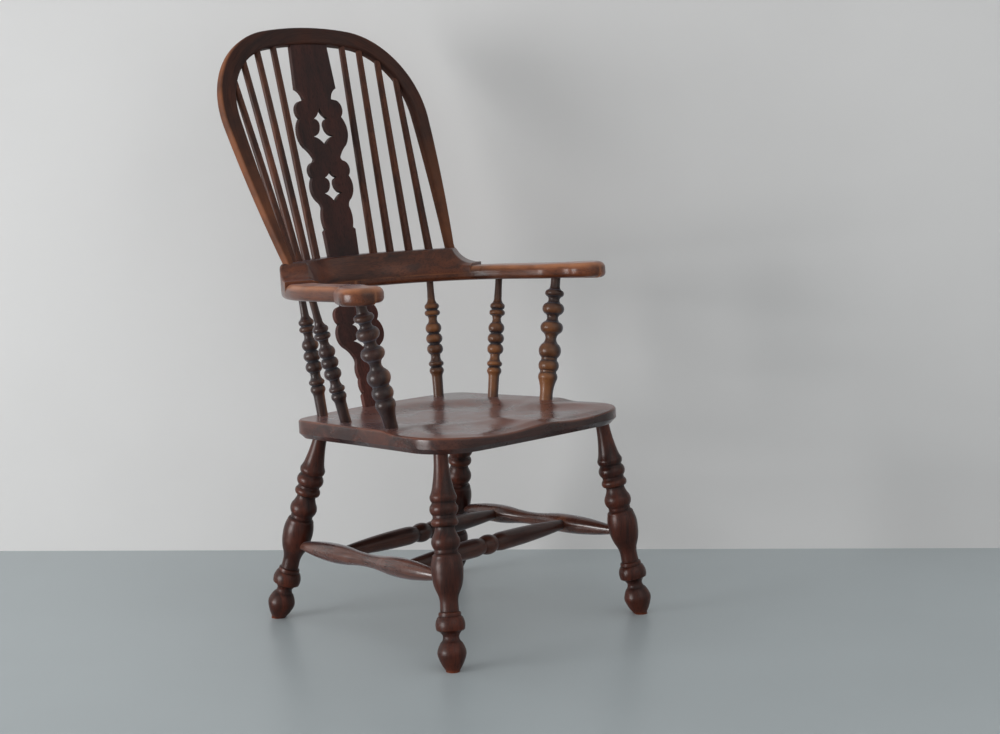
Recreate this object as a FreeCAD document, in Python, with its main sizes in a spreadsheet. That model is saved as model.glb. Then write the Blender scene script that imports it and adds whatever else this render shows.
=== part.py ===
"""High-back Windsor armchair with broad arms, turned legs and a pierced two-part splat.

Millimetres. The sitter faces -Y, +X is the sitter's left hand, +Z is up and the feet stand on Z = 0.
"""
import FreeCAD, Part
import math
import os
import re
import Sketcher

Vector = FreeCAD.Vector
Placement = FreeCAD.Placement
Rotation = FreeCAD.Rotation
OUTWARD, INWARD = 1, -1
SIDES = (("left", 1), ("right", -1))
ENDS = ("front", "back")
X_AXIS, Y_AXIS, Z_AXIS = Vector(1, 0, 0), Vector(0, 1, 0), Vector(0, 0, 1)

doc = FreeCAD.newDocument("windsor_chair")
sheet = doc.addObject("Spreadsheet::Sheet", "Sizes")
sub_parts = []

# Frame sizes. Heights and places are on the finished chair, angles in degrees.
SIZES = {
    "seat_height": 407.5, "seat_pitch": 2.9, "seat_middle_y": -81.5, "seat_thickness": 36,
    "seat_front_y": -316, "seat_front_bow": 10, "seat_front_half_width": 258,
    "seat_back_y": 142, "seat_back_bow": 21, "seat_back_half_width": 220,
    "seat_front_corner": 88, "seat_back_corner": 42, "seat_top_round": 5, "seat_bottom_bevel": 10,
    "thigh_depth": 9, "thigh_radius": 125, "thigh_offset": 104, "thigh_y": -230,
    "dish_depth": 9, "dish_radius": 176, "dish_y": -66,
    "leg_front_foot_x": 256, "leg_front_foot_y": -331.6, "leg_front_top_x": 216, "leg_front_top_y": -266,
    "leg_back_foot_x": 240, "leg_back_foot_y": 181, "leg_back_top_x": 191, "leg_back_top_y": 97,
    "leg_socket_depth": 26, "leg_socket_mouth": 6, "glue_gap": 0.15, "socket_bottom_gap": 0.8,
    "side_stretcher_front_height": 162, "side_stretcher_back_height": 149,
    "side_stretcher_tenon_stop": 9, "side_stretcher_tenon_length": 20,
    "right_front_cross_share": 0.285, "right_back_cross_share": 0.705,
    "left_front_cross_share": 0.33, "left_back_cross_share": 0.74,
    "cross_stretcher_tenon_stop": 3, "cross_stretcher_tenon_length": 16,
    "arm_height": 640.2, "arm_pitch": 3.5, "arm_thickness": 29, "arm_width": 67,
    "arm_bow_radius": 254.5, "arm_bow_y": -22, "arm_splay": 4.8, "arm_outer_round": 6, "arm_inner_round": 9,
    "hand_x": 296, "hand_y": -154, "hand_radius": 42, "hand_start_y": -90, "hand_curve": 2.7,
    "wing_back_y": -94, "wing_step": 14, "wing_inset": 6.4, "wing_turn": 35, "wing_side_curve": 1,
    "wing_overhang": 3,
    "support_seat_depth": 22, "support_arm_depth": 15, "support_shoulder": 6,
    "front_support_seat_x": 207, "front_support_seat_y": -128,
    "front_support_arm_x": 260, "front_support_arm_y": -109,
    "middle_support_seat_x": 197, "middle_support_seat_y": 11,
    "middle_support_arm_x": 247.5, "middle_support_arm_y": 39,
    "back_support_seat_x": 156, "back_support_seat_y": 128,
    "back_support_arm_x": 171, "back_support_arm_y": 164,
    "crest_height": 37, "crest_setback": 16, "crest_end_angle": 64.7, "crest_step": 7,
    "crest_ramp_radius": 48, "crest_front_round": 4, "crest_back_round": 9,
    "crest_dowel_diameter": 10, "crest_dowel_length": 30,
    "crest_dowel_inner_angle": 11.5, "crest_dowel_outer_angle": 29.3,
    "stick_bow_radius": 288, "stick_bow_y": -52, "stick_foot_diameter": 17, "stick_top_diameter": 13,
    "stick_crest_depth": 20, "stick_hoop_depth": 18,
    "stick_1_foot_x": 76, "stick_2_foot_x": 111, "stick_3_foot_x": 147, "stick_4_foot_x": 181,
    "stick_1_top_x": 90, "stick_2_top_x": 133, "stick_3_top_x": 175, "stick_4_top_x": 211,
    "hoop_top": 1146.7, "hoop_rake": 23.7, "hoop_foot_y": 144.5, "hoop_foot_half_width": 222.3,
    "hoop_half_width": 264.3, "hoop_crown_radius": 736, "hoop_shoulder_radius": 182.5,
    "hoop_outer_lean": 5.4, "hoop_inner_lean": 2, "hoop_width": 36, "hoop_foot_width": 15,
    "hoop_depth": 19, "hoop_round": 4, "hoop_foot_rise": 4, "hoop_foot_depth": 24,
    "splat_thickness": 9, "splat_foot_housing": 14, "splat_head_housing": 10,
    "upper_splat_y": 232, "upper_splat_head_half_width": 46.5,
    "lower_splat_seat_y": 145, "lower_splat_arm_y": 220,
}

# Turnings: name, height along the piece, diameter there, swell of the curve up to the next one.
# A swell over 0 is a bead, under 0 a cove, and 0 a straight run.
LEG_TURNING = (
    ("sole", -8, 24, 0.5), ("bulb", 26, 51.5, 2.4), ("bulb_top", 42, 45, 0), ("ledge", 45, 42, -0.8),
    ("ankle", 57, 29, 0), ("ankle_top", 61, 29, -0.8), ("ring_foot", 71, 41, 0), ("ring", 74, 52, 2.2),
    ("ring_top", 96, 46, 0), ("collar", 98, 41, 0), ("collar_top", 104.5, 40, 0),
    ("neck", 106.5, 33.8, 0), ("waist", 120, 33, -1.3), ("vase_foot", 141, 42.5, 1.6),
    ("vase", 172, 57.2, 1.6), ("vase_shoulder", 203, 51.5, 0.8), ("vase_top", 209, 44.5, 0),
    ("band", 210.5, 42, 0), ("band_top", 216, 42, 0), ("low_bead", 217.5, 43.5, 3.6),
    ("low_bead_top", 240, 46.5, -0.5), ("cove", 252, 36.5, 0), ("cove_top", 256.5, 36, 0),
    ("reel", 259, 46, 1.8), ("reel_top", 271, 46, 0), ("reel_groove", 273, 42, 0),
    ("reel_groove_top", 277.5, 42, 0), ("high_bead", 279.5, 46, 3.3), ("high_bead_top", 298, 44.5, 0),
    ("high_groove", 300.5, 42, 0), ("flare", 304, 47, 0.3), ("flare_top", 311.5, 48.8, -0.9),
    ("cone", 332, 36.5, -1.2),
)
HEAVY_TURNING = (
    ("foot", 6, 26, -1.6), ("bulb", 38, 35.5, 2.4), ("bulb_top", 53.5, 32.5, 0), ("ring", 57, 33, 4.2),
    ("ring_top", 78, 32, 0), ("ball", 83, 32, 5.8), ("ball_top", 110, 34, -5.3),
    ("low_bead", 132, 31.5, 6.3), ("low_bead_top", 154, 34, -4.8), ("high_bead", 170, 29.5, 6.2),
    ("high_bead_top", 191.5, 33, -4.2), ("disc", 205.5, 28.5, 4.4), ("disc_top", 218.5, 30, -1.4),
    ("throat", 226, 19.8, -0.2),
)
SLIM_TURNING = (
    ("foot", 6, 21.3, 0), ("shaft", 39, 22, -0.4), ("low_disc", 46, 25.5, 2.5),
    ("low_disc_top", 58.5, 24, 0), ("disc_groove", 59.7, 22.5, 0), ("high_disc", 61, 24, 3.4),
    ("high_disc_top", 71.5, 24.5, -1.6), ("low_bead", 86, 21, 6), ("low_bead_top", 107, 21.5, 0),
    ("middle_bead", 108, 21.5, 6), ("middle_bead_top", 128.3, 22, 0), ("high_bead", 129.3, 22, 5.4),
    ("high_bead_top", 150, 22, -2.2), ("top_disc", 165, 21.5, 4.9), ("top_disc_top", 177, 23, 0),
    ("cap_disc", 178.3, 23, 3.6), ("cap_disc_top", 190.5, 23, -1.3), ("tip", 203, 15.8, -0.3),
)
TURNING_SIZES = {
    "leg_end_diameter": 26.5, "heavy_support_end_diameter": 19, "slim_support_end_diameter": 14.3,
    "side_stretcher_end_diameter": 16.5, "side_stretcher_swell_diameter": 37.5,
    "side_stretcher_waist_diameter": 25, "cross_stretcher_end_diameter": 20,
    "cross_stretcher_swell_diameter": 36, "cross_stretcher_swell_place": 40,
    "cross_stretcher_neck_diameter": 29.5, "cross_stretcher_neck_place": 18,
    "cross_stretcher_ball_diameter": 38.5, "cross_stretcher_ball_half_length": 15,
    "cross_stretcher_ball_edge_diameter": 31.5,
}

# Fretted splats: name, height above the splat's foot, half width there, swell up to the next one.
UPPER_SPLAT = (
    ("foot", 0, 39, 0), ("foot_top", 52, 41, 0), ("ledge", 56, 35.5, 4), ("wave_top", 99, 34.5, -2),
    ("low_scroll", 113, 42, 9.5), ("low_notch", 162, 47.5, 8), ("low_curl_top", 192, 43, -2),
    ("waist", 200, 33.7, -2), ("high_scroll", 224, 54, 11), ("high_notch", 283, 54, 9),
    ("high_curl_top", 317, 49, 0), ("throat", 320, 35.5, -4), ("blade", 342, 52.5, 0),
)
LOWER_SPLAT = (
    ("foot", 0, 34, 0), ("foot_top", 24, 33, 0), ("foot_ledge", 28, 28.5, 3.5), ("low_wave", 58, 29.5, 3.5),
    ("high_wave", 88, 29, -2), ("waist", 104, 31, -2), ("scroll", 124, 49, 11), ("notch", 172, 50, 8.5),
    ("curl_top", 206, 46, 0), ("throat", 209, 34, -3), ("head", 222, 42, 0),
)
# Fretted openings: name, height, half width, swell up to the next one. They close on the middle line.
UPPER_SPLAT_LOW_EYE = (("tip", 108, 0, -3), ("low_corner", 128, 23, -4), ("waist", 145, 6.5, -4),
                       ("high_corner", 160, 16, -2), ("top", 175, 0, 0))
UPPER_SPLAT_HIGH_EYE = (("tip", 225, 0, -3.5), ("low_corner", 245, 27, -5), ("waist", 263, 7, -5),
                        ("high_corner", 281, 18, -3), ("top", 304, 0, 0))
LOWER_SPLAT_EYE = (("tip", 116, 0, -3), ("low_corner", 134, 25, -4.5), ("waist", 150, 7, -4.5),
                   ("high_corner", 167, 18, -2.5), ("top", 184, 0, 0))


def add_rows(owner, rows, width_word):
    """Names the height, width and swell of each row of a turning or fretted outline."""
    for name, height, width, swell in rows:
        SIZES[f"{owner}_{name}_height"] = height
        SIZES[f"{owner}_{name}_{width_word}"] = width
        SIZES[f"{owner}_{name}_swell"] = swell


SIZES.update(TURNING_SIZES)
add_rows("leg", LEG_TURNING, "diameter")
add_rows("heavy_support", HEAVY_TURNING, "diameter")
add_rows("slim_support", SLIM_TURNING, "diameter")
add_rows("upper_splat", UPPER_SPLAT, "half_width")
add_rows("lower_splat", LOWER_SPLAT, "half_width")
add_rows("upper_splat_low_eye", UPPER_SPLAT_LOW_EYE, "half_width")
add_rows("upper_splat_high_eye", UPPER_SPLAT_HIGH_EYE, "half_width")
add_rows("lower_splat_eye", LOWER_SPLAT_EYE, "half_width")
# Places that follow from the sizes: the arm's edges and hand, the hoop's curve centres, the stick heads.
SIZES.update({
    "arm_outer": "=arm_bow_radius + arm_width / 2", "arm_inner": "=arm_bow_radius - arm_width / 2",
    "glue_reach": "=arm_outer - wing_inset",
    "hand_offset": "=hand_x * cos(arm_splay) + (hand_y - arm_bow_y) * sin(arm_splay) - glue_reach",
    "hand_run": "=sqrt(hand_radius ^ 2 - hand_offset ^ 2)",
    "hand_tip_x": "=hand_x - hand_offset * cos(arm_splay) + hand_run * sin(arm_splay)",
    "hand_tip_y": "=hand_y - hand_offset * sin(arm_splay) - hand_run * cos(arm_splay)",
    "wing_back_x": "=(glue_reach + (arm_bow_y - wing_back_y) * sin(arm_splay)) / cos(arm_splay)",
    "arm_notch_x": "=(arm_outer + (arm_bow_y - wing_back_y) * sin(arm_splay)) / cos(arm_splay)",
    "hand_start_x": "=(arm_inner + (arm_bow_y - hand_start_y) * sin(arm_splay)) / cos(arm_splay)",
    "crest_inner": "=arm_inner + crest_setback", "crest_middle": "=(crest_inner + arm_outer) / 2",
    "crest_top": "=arm_thickness + crest_height",
    "hoop_base_height": "=arm_height - hoop_foot_y * sin(arm_pitch) + crest_top * cos(arm_pitch)",
    "hoop_rise": "=(hoop_top - hoop_base_height) / cos(hoop_rake)",
    "hoop_crown_y": "=hoop_rise - hoop_crown_radius",
    "hoop_shoulder_x": "=hoop_half_width - hoop_shoulder_radius",
    "hoop_bend": "=hoop_crown_radius - hoop_shoulder_radius",
    "hoop_shoulder_y": "=hoop_crown_y + sqrt(hoop_bend ^ 2 - hoop_shoulder_x ^ 2)",
    "hoop_inner_rise": "=hoop_rise - hoop_width",
})
for row, (alias, number) in enumerate(SIZES.items(), start=1):
    sheet.set(f"A{row}", alias)
    sheet.set(f"B{row}", str(number))
    sheet.setAlias(f"B{row}", alias)
doc.recompute()


def bound(formula):
    """Formula text with every size's name made a reference to its cell."""
    return re.sub(r"[a-z]\w*", lambda word: f"Sizes.{word[0]}" if word[0] in SIZES else word[0], str(formula))


def value(formula):
    """Number that a formula gives now."""
    result = sheet.evalExpression(bound(formula))
    return float(getattr(result, "Value", result))


def size(alias):
    """Size read from its cell."""
    return float(sheet.get(alias))


def origin_plane(body, role):
    return next(plane for plane in body.Origin.OriginFeatures if plane.Role == role)


def new_sketch(body, role, offset="0"):
    """Sketch on one of the body's own planes, lifted along its normal."""
    sketch = body.newObject("Sketcher::SketchObject", f"{body.Name}_sketch")
    sketch.AttachmentSupport = [(origin_plane(body, role), "")]
    sketch.MapMode = "FlatFace"
    sketch.setExpression("AttachmentOffset.Base.z", bound(offset))
    return sketch


def swell_radius(across, along, swell):
    """Radius of an arc from the two legs of its chord and its swell."""
    return f"(({across}) ^ 2 + ({along}) ^ 2) / (8 * ({swell})) + ({swell}) / 2"


def outline_edge(start, end, edge):
    """Line or minor arc between two points, with the ends that hold its start and end."""
    if edge is None:
        return Part.LineSegment(Vector(*start, 0), Vector(*end, 0)), 1, 2
    radius, bulge = value(edge[0]), edge[1]
    chord = Vector(end[0] - start[0], end[1] - start[1], 0)
    reach = math.sqrt(max(radius ** 2 - chord.Length ** 2 / 4, 0))
    left = Vector(-chord.y, chord.x, 0).normalize()
    centre = Vector(*start, 0) + chord * 0.5 + left * (reach * bulge)
    first, last = (start, end) if bulge == OUTWARD else (end, start)
    angles = [math.atan2(point[1] - centre.y, point[0] - centre.x) for point in (first, last)]
    if angles[1] < angles[0]:
        angles[1] += 2 * math.pi
    arc = Part.ArcOfCircle(Part.Circle(centre, Z_AXIS, radius), angles[0], angles[1])
    return (arc, 1, 2) if bulge == OUTWARD else (arc, 2, 1)


def add_outline(sketch, corners):
    """Closed outline through the corners, anticlockwise, each (across, along, edge to the next)."""
    points = [(value(across), value(along)) for across, along, _ in corners]
    edges = []
    for index, (_, _, edge) in enumerate(corners):
        edges.append(outline_edge(points[index], points[(index + 1) % len(points)], edge))
    first = sketch.GeometryCount
    sketch.addGeometry([edge[0] for edge in edges], False)
    for index, (across, along, edge) in enumerate(corners):
        here, start = first + index, edges[index][1]
        before = first + (index - 1) % len(corners)
        sketch.addConstraint(Sketcher.Constraint("Coincident", before, edges[index - 1][2], here, start))
        for kind, axis, formula, number in (("DistanceX", -2, across, points[index][0]),
                                            ("DistanceY", -1, along, points[index][1])):
            if abs(number) < 1e-9:
                sketch.addConstraint(Sketcher.Constraint("PointOnObject", here, start, axis))
                continue
            item = sketch.addConstraint(Sketcher.Constraint(kind, -1, 1, here, start, number))
            sketch.setExpression(f"Constraints[{item}]", bound(formula))
        if edge is not None:
            item = sketch.addConstraint(Sketcher.Constraint("Radius", here, value(edge[0])))
            sketch.setExpression(f"Constraints[{item}]", bound(edge[0]))


def mirrored(corners):
    """The same outline on the other side of the chair."""
    flipped = []
    for index in range(len(corners) - 1, -1, -1):
        across, along, _ = corners[index]
        flipped.append((f"-({across})", along, corners[index - 1][2]))
    return flipped


def row_corners(owner, rows, width_word, share):
    """Corners up one side of a turning or splat, with the curves that its swells give."""
    corners = []
    for index, (name, _, _, swell) in enumerate(rows):
        here = f"{owner}_{name}"
        edge = None
        if swell and index + 1 < len(rows):
            there = f"{owner}_{rows[index + 1][0]}"
            across = f"{share} * ({there}_{width_word} - {here}_{width_word})"
            along = f"{there}_height - {here}_height"
            sign = OUTWARD if swell > 0 else INWARD
            edge = (swell_radius(across, along, f"{sign} * {here}_swell"), sign)
        corners.append((f"{share} * {here}_{width_word}", f"{here}_height", edge))
    return corners


def finish(shape_object, name, tools=()):
    """Names a finished piece, less the sockets and trims that its tools cut."""
    piece = shape_object
    if tools:
        cutter = tools[0]
        if len(tools) > 1:
            cutter = doc.addObject("Part::MultiFuse", f"{name}_cuts")
            cutter.Shapes = list(tools)
        piece = doc.addObject("Part::Cut", f"{name}_cut")
        piece.Base = shape_object
        piece.Tool = cutter
    piece.Label = name
    sub_parts.append((name, piece))
    return piece


def along(start, end):
    """Placement at the start with Z towards the end."""
    return Placement(start, Rotation(Z_AXIS, end - start))


def rod(name, place, radius, length, top_radius=None):
    """Straight or tapered round rod or hole, up the Z of its placement."""
    if top_radius is None:
        item = doc.addObject("Part::Cylinder", name)
        item.setExpression("Radius", bound(radius))
    else:
        item = doc.addObject("Part::Cone", name)
        item.setExpression("Radius1", bound(radius))
        item.setExpression("Radius2", bound(top_radius))
    item.setExpression("Height", bound(length))
    item.Placement = place
    return item


def mortise(name, frame, corner, length, width, height):
    """Box-shaped hole, from its lowest corner in a frame."""
    item = doc.addObject("Part::Box", name)
    for side, formula in (("Length", length), ("Width", width), ("Height", height)):
        item.setExpression(side, bound(formula))
    item.Placement = frame.multiply(Placement(Vector(*[value(number) for number in corner]), Rotation()))
    return item


def turned_body(name, place, corners, bottom, top):
    """Turned piece about the Z of its placement, from the corners of one side of its profile."""
    body = doc.addObject("PartDesign::Body", name)
    sketch = new_sketch(body, "XZ_Plane")
    add_outline(sketch, [("0", bottom, None)] + corners + [("0", top, None)])
    turning = body.newObject("PartDesign::Revolution", f"{name}_turning")
    turning.Profile = sketch
    turning.ReferenceAxis = (sketch, ["V_Axis"])
    turning.Angle = 360
    body.Placement = place
    return body


def padded_body(name, place, outlines, role, thickness, offset="0", midplane=False):
    """Flat piece: its outlines on one plane, padded to its thickness."""
    body = doc.addObject("PartDesign::Body", name)
    sketch = new_sketch(body, role, offset)
    for corners in outlines:
        add_outline(sketch, corners)
    pad = body.newObject("PartDesign::Pad", f"{name}_pad")
    pad.Profile = sketch
    pad.setExpression("Length", bound(thickness))
    pad.Midplane = midplane
    body.Placement = place
    doc.recompute()
    return body, pad


def soften(body, base, name, kind, edges, amount):
    """Fillet or chamfer on chosen edges, which the body then ends with."""
    feature = body.newObject(f"PartDesign::{kind}", name)
    feature.Base = (base, edges)
    feature.setExpression("Radius" if kind == "Fillet" else "Size", bound(amount))
    doc.recompute()
    return feature


def edges_where(shape, test):
    return [f"Edge{index}" for index, edge in enumerate(shape.Edges, start=1) if test(edge)]


def level_edge(height):
    """Test for an edge that lies at one height."""
    def test(edge):
        box = edge.BoundBox
        return abs(box.ZMin - height) < 1e-4 and abs(box.ZMax - height) < 1e-4
    return test


def upright_edge(edge):
    box = edge.BoundBox
    return box.XLength < 1e-4 and box.YLength < 1e-4


# Frames of the two sloping layers of the chair: the seat's top face and the underside of the arms.
SEAT_FRAME = Placement(Vector(0, size("seat_middle_y"), size("seat_height")),
                       Rotation(X_AXIS, -size("seat_pitch")))
SEAT_FRAME = SEAT_FRAME.multiply(Placement(Vector(0, -size("seat_middle_y"), 0), Rotation()))
ARM_FRAME = Placement(Vector(0, 0, size("arm_height")), Rotation(X_AXIS, -size("arm_pitch")))


def seat_point(across, along_y, height="0"):
    return SEAT_FRAME.multVec(Vector(value(across), value(along_y), value(height)))


def arm_point(across, along_y, height="0"):
    return ARM_FRAME.multVec(Vector(value(across), value(along_y), value(height)))


# Legs: one turning, four times. Each leans out from its blind socket and its foot is sawn level.
leg_lines = {}
for end in ENDS:
    for side, sign in SIDES:
        foot = Vector(sign * size(f"leg_{end}_foot_x"), size(f"leg_{end}_foot_y"), 0)
        top = seat_point(f"{sign} * leg_{end}_top_x", f"leg_{end}_top_y", "-seat_thickness")
        leg_lines[end, side] = (foot, top)


def point_at_height(line, height):
    foot, top = line
    return foot + (top - foot) * (height / top.z)


def leg_corners(length):
    corners = row_corners("leg", LEG_TURNING, "diameter", 0.5)
    name, _, _, swell = LEG_TURNING[-1]
    across = f"0.5 * (leg_end_diameter - leg_{name}_diameter)"
    rise = f"{length:.4f} - leg_{name}_height"
    corners[-1] = (corners[-1][0], corners[-1][1], (swell_radius(across, rise, f"-leg_{name}_swell"), INWARD))
    corners.append(("leg_end_diameter / 2", f"{length:.4f}", None))
    corners.append(("leg_end_diameter / 2", f"{length:.4f} + leg_socket_depth", None))
    return corners


stretcher_lines = {}
for side, sign in SIDES:
    stretcher_lines[side] = [point_at_height(leg_lines[end, side], size(f"side_stretcher_{end}_height"))
                             for end in ENDS]


def stretcher_socket(name, side, end):
    """Hole that takes one end of a side stretcher, from the leg's middle outwards."""
    near, far = stretcher_lines[side] if end == "front" else reversed(stretcher_lines[side])
    place = along(near, far).multiply(Placement(Vector(0, 0, size("side_stretcher_tenon_stop")
                                                       - size("socket_bottom_gap")), Rotation()))
    return rod(name, place, "side_stretcher_end_diameter / 2 + glue_gap", "leg_vase_diameter")


for (end, side), (foot, top) in leg_lines.items():
    name = f"{side}_{end}_leg"
    length = (top - foot).Length
    turned = turned_body(f"{name}_turned", along(foot, top), leg_corners(length),
                         "leg_sole_height", f"{length:.4f} + leg_socket_depth")
    floor = doc.addObject("Part::Box", f"{name}_floor")
    for direction in ("Length", "Width", "Height"):
        floor.setExpression(direction, bound("2 * leg_bulb_diameter"))
    floor.Placement = Placement(foot - Vector(size("leg_bulb_diameter"), size("leg_bulb_diameter"),
                                              2 * size("leg_bulb_diameter")), Rotation())
    finish(turned, name, [floor, stretcher_socket(f"{name}_socket", side, end)])


# Side stretchers: double swells between front and back legs, with a round tenon at each end.
def side_stretcher_corners(side, length):
    end_radius, swell = "side_stretcher_end_diameter / 2", "side_stretcher_swell_diameter / 2"
    waist = "side_stretcher_waist_diameter / 2"
    middle = f"({swell} + {waist}) / 2"
    rise, fall = f"({swell} - {end_radius})", f"({swell} - {waist}) / 2"
    total = f"{length:.4f}"
    stop = "side_stretcher_tenon_stop"
    shoulder = f"({stop} + side_stretcher_tenon_length)"
    front_place, back_place = f"{total} * {side}_front_cross_share", f"{total} * {side}_back_cross_share"
    run = f"({back_place} - {front_place}) / 4"
    front_curve = swell_radius(rise, f"{front_place} - {shoulder}", f"{rise} / 4")
    back_curve = swell_radius(rise, f"{total} - {back_place} - {shoulder}", f"{rise} / 4")
    short_curve = swell_radius(fall, run, f"{fall} / 4")
    return [
        (end_radius, stop, None), (end_radius, shoulder, (front_curve, OUTWARD)),
        (swell, front_place, (short_curve, OUTWARD)),
        (middle, f"{front_place} + {run}", (short_curve, INWARD)),
        (waist, f"{front_place} + 2 * {run}", (short_curve, INWARD)),
        (middle, f"{back_place} - {run}", (short_curve, OUTWARD)),
        (swell, back_place, (back_curve, OUTWARD)),
        (end_radius, f"{total} - {shoulder}", None), (end_radius, f"{total} - {stop}", None),
    ]


cross_lines = {"front": [], "back": []}
for end in ENDS:
    for side, sign in SIDES:
        start, stop = stretcher_lines[side]
        cross_lines[end].append(start + (stop - start) * size(f"{side}_{end}_cross_share"))
for side, sign in SIDES:
    name = f"{side}_side_stretcher"
    start, stop = stretcher_lines[side]
    length = (stop - start).Length
    turned = turned_body(f"{name}_turned", along(start, stop), side_stretcher_corners(side, length),
                         "side_stretcher_tenon_stop", f"{length:.4f} - side_stretcher_tenon_stop")
    sockets = []
    for end in ENDS:
        near, far = cross_lines[end] if side == "left" else reversed(cross_lines[end])
        offset = size("cross_stretcher_tenon_stop") - size("socket_bottom_gap")
        place = along(near, far).multiply(Placement(Vector(0, 0, offset), Rotation()))
        sockets.append(rod(f"{name}_{end}_socket", place, "cross_stretcher_end_diameter / 2 + glue_gap",
                           "side_stretcher_swell_diameter"))
    finish(turned, name, sockets)


# Cross stretchers: a ball in the middle between two long swells, tenoned into the side stretchers.
def cross_stretcher_corners(length):
    total = f"{length:.4f}"
    word = "cross_stretcher_"
    end_radius, swell = f"{word}end_diameter / 2", f"{word}swell_diameter / 2"
    neck, edge = f"{word}neck_diameter / 2", f"{word}ball_edge_diameter / 2"
    stop, swell_place = f"{word}tenon_stop", f"{word}swell_place"
    neck_place, ball = f"{word}neck_place", f"{word}ball_half_length"
    rise = f"({swell} - {end_radius})"
    shoulder = f"({stop} + {word}tenon_length)"
    long_curve = swell_radius(rise, f"{total} / 2 - {swell_place} - {shoulder}", f"{rise} / 4")
    fall = f"({swell} - {neck})"
    short_curve = swell_radius(fall, f"{swell_place} - {neck_place}", f"{fall} / 4")
    ball_curve = swell_radius("0", f"2 * {ball}", f"{word}ball_diameter / 2 - {edge}")
    return [
        (end_radius, stop, None),
        (end_radius, shoulder, (long_curve, OUTWARD)),
        (swell, f"{total} / 2 - {swell_place}", (short_curve, OUTWARD)),
        (neck, f"{total} / 2 - {neck_place}", None),
        (neck, f"{total} / 2 - ({neck_place} + {ball}) / 2", None),
        (edge, f"{total} / 2 - {ball}", (ball_curve, OUTWARD)),
        (edge, f"{total} / 2 + {ball}", None),
        (neck, f"{total} / 2 + ({neck_place} + {ball}) / 2", None),
        (neck, f"{total} / 2 + {neck_place}", (short_curve, OUTWARD)),
        (swell, f"{total} / 2 + {swell_place}", (long_curve, OUTWARD)),
        (end_radius, f"{total} - {shoulder}", None),
        (end_radius, f"{total} - {stop}", None),
    ]


for end in ENDS:
    name = f"{end}_cross_stretcher"
    start, stop = cross_lines[end]
    length = (stop - start).Length
    turned = turned_body(name, along(start, stop), cross_stretcher_corners(length),
                         "cross_stretcher_tenon_stop", f"{length:.4f} - cross_stretcher_tenon_stop")
    finish(turned, name)


# Arm supports: a heavy one in front and two slim ones behind it on each side, all in blind sockets.
SUPPORTS = (("front", "heavy_support", HEAVY_TURNING), ("middle", "slim_support", SLIM_TURNING),
            ("back", "slim_support", SLIM_TURNING))
seat_tools, arm_tools, crest_tools, hoop_tools = [], {"left": [], "right": []}, [], []


def support_corners(owner, rows, length):
    corners = row_corners(owner, rows, "diameter", 0.5)
    name, _, _, swell = rows[-1]
    foot = f"{owner}_{rows[0][0]}_diameter / 2"
    across = f"({owner}_end_diameter - {owner}_{name}_diameter) / 2"
    rise = f"{length:.4f} - support_shoulder - {owner}_{name}_height"
    radius = swell_radius(across, rise, f"-{owner}_{name}_swell")
    corners[-1] = (corners[-1][0], corners[-1][1], (radius, INWARD))
    corners.append((f"{owner}_end_diameter / 2", f"{length:.4f} - support_shoulder", None))
    corners.append((f"{owner}_end_diameter / 2", f"{length:.4f} + support_arm_depth", None))
    return [(foot, "-support_seat_depth", None)] + corners


for which, owner, rows in SUPPORTS:
    for side, sign in SIDES:
        name = f"{side}_{which}_support"
        foot = seat_point(f"{sign} * {which}_support_seat_x", f"{which}_support_seat_y")
        top = arm_point(f"{sign} * {which}_support_arm_x", f"{which}_support_arm_y")
        length = (top - foot).Length
        turned = turned_body(name, along(foot, top), support_corners(owner, rows, length),
                             "-support_seat_depth", f"{length:.4f} + support_arm_depth")
        finish(turned, name)
        depth = "support_seat_depth + socket_bottom_gap"
        place = along(foot, top).multiply(Placement(Vector(0, 0, -value(depth)), Rotation()))
        seat_tools.append(rod(f"{name}_seat_socket", place, f"{owner}_foot_diameter / 2 + glue_gap",
                              f"{depth} + support_shoulder"))
        shoulder = Placement(Vector(0, 0, length - size("support_shoulder")), Rotation())
        place = along(foot, top).multiply(shoulder)
        arm_tools[side].append(rod(f"{name}_arm_socket", place, f"{owner}_end_diameter / 2 + glue_gap",
                                   "support_arm_depth + socket_bottom_gap + support_shoulder"))

# Hoop: bent in one sloping plane, 36 wide over the crown and tapering to the tenons at its feet.
HOOP_FRAME = Placement(arm_point("0", "hoop_foot_y", "crest_top"), Rotation(X_AXIS, 90 - size("hoop_rake")))


def hoop_side(inset, foot_inset, lean):
    """Corners up the right half of one edge of the hoop: leg, shoulder and half of the crown."""
    foot = f"(hoop_foot_half_width - {foot_inset})"
    shoulder = f"(hoop_shoulder_radius - {inset})"
    crown = f"(hoop_crown_radius - {inset})"
    end_x = f"(hoop_shoulder_x + {shoulder} * cos({lean}))"
    end_y = f"(hoop_shoulder_y - {shoulder} * sin({lean}))"
    across, rise = f"({end_x} - {foot})", f"({end_y} - hoop_foot_rise)"
    bend = f"(atan({across} / {rise}) / 1 deg - {lean})"
    leg = (f"sqrt({across} ^ 2 + {rise} ^ 2) / (2 * abs(sin({bend})))", OUTWARD if value(bend) > 0 else INWARD)
    return [
        (foot, "-hoop_foot_depth", None),
        (foot, "hoop_foot_rise", leg),
        (end_x, end_y, (shoulder, OUTWARD)),
        (f"{crown} * hoop_shoulder_x / hoop_bend",
         f"hoop_crown_y + {crown} * (hoop_shoulder_y - hoop_crown_y) / hoop_bend", (crown, OUTWARD)),
    ]


def turned_inside(corners):
    """The same run of corners the other way, so that it bounds a hollow."""
    flipped = []
    for index in range(len(corners) - 1, -1, -1):
        across, height, _ = corners[index]
        edge = corners[index - 1][2] if index else None
        flipped.append((across, height, (edge[0], -edge[1]) if edge else None))
    return flipped


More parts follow.
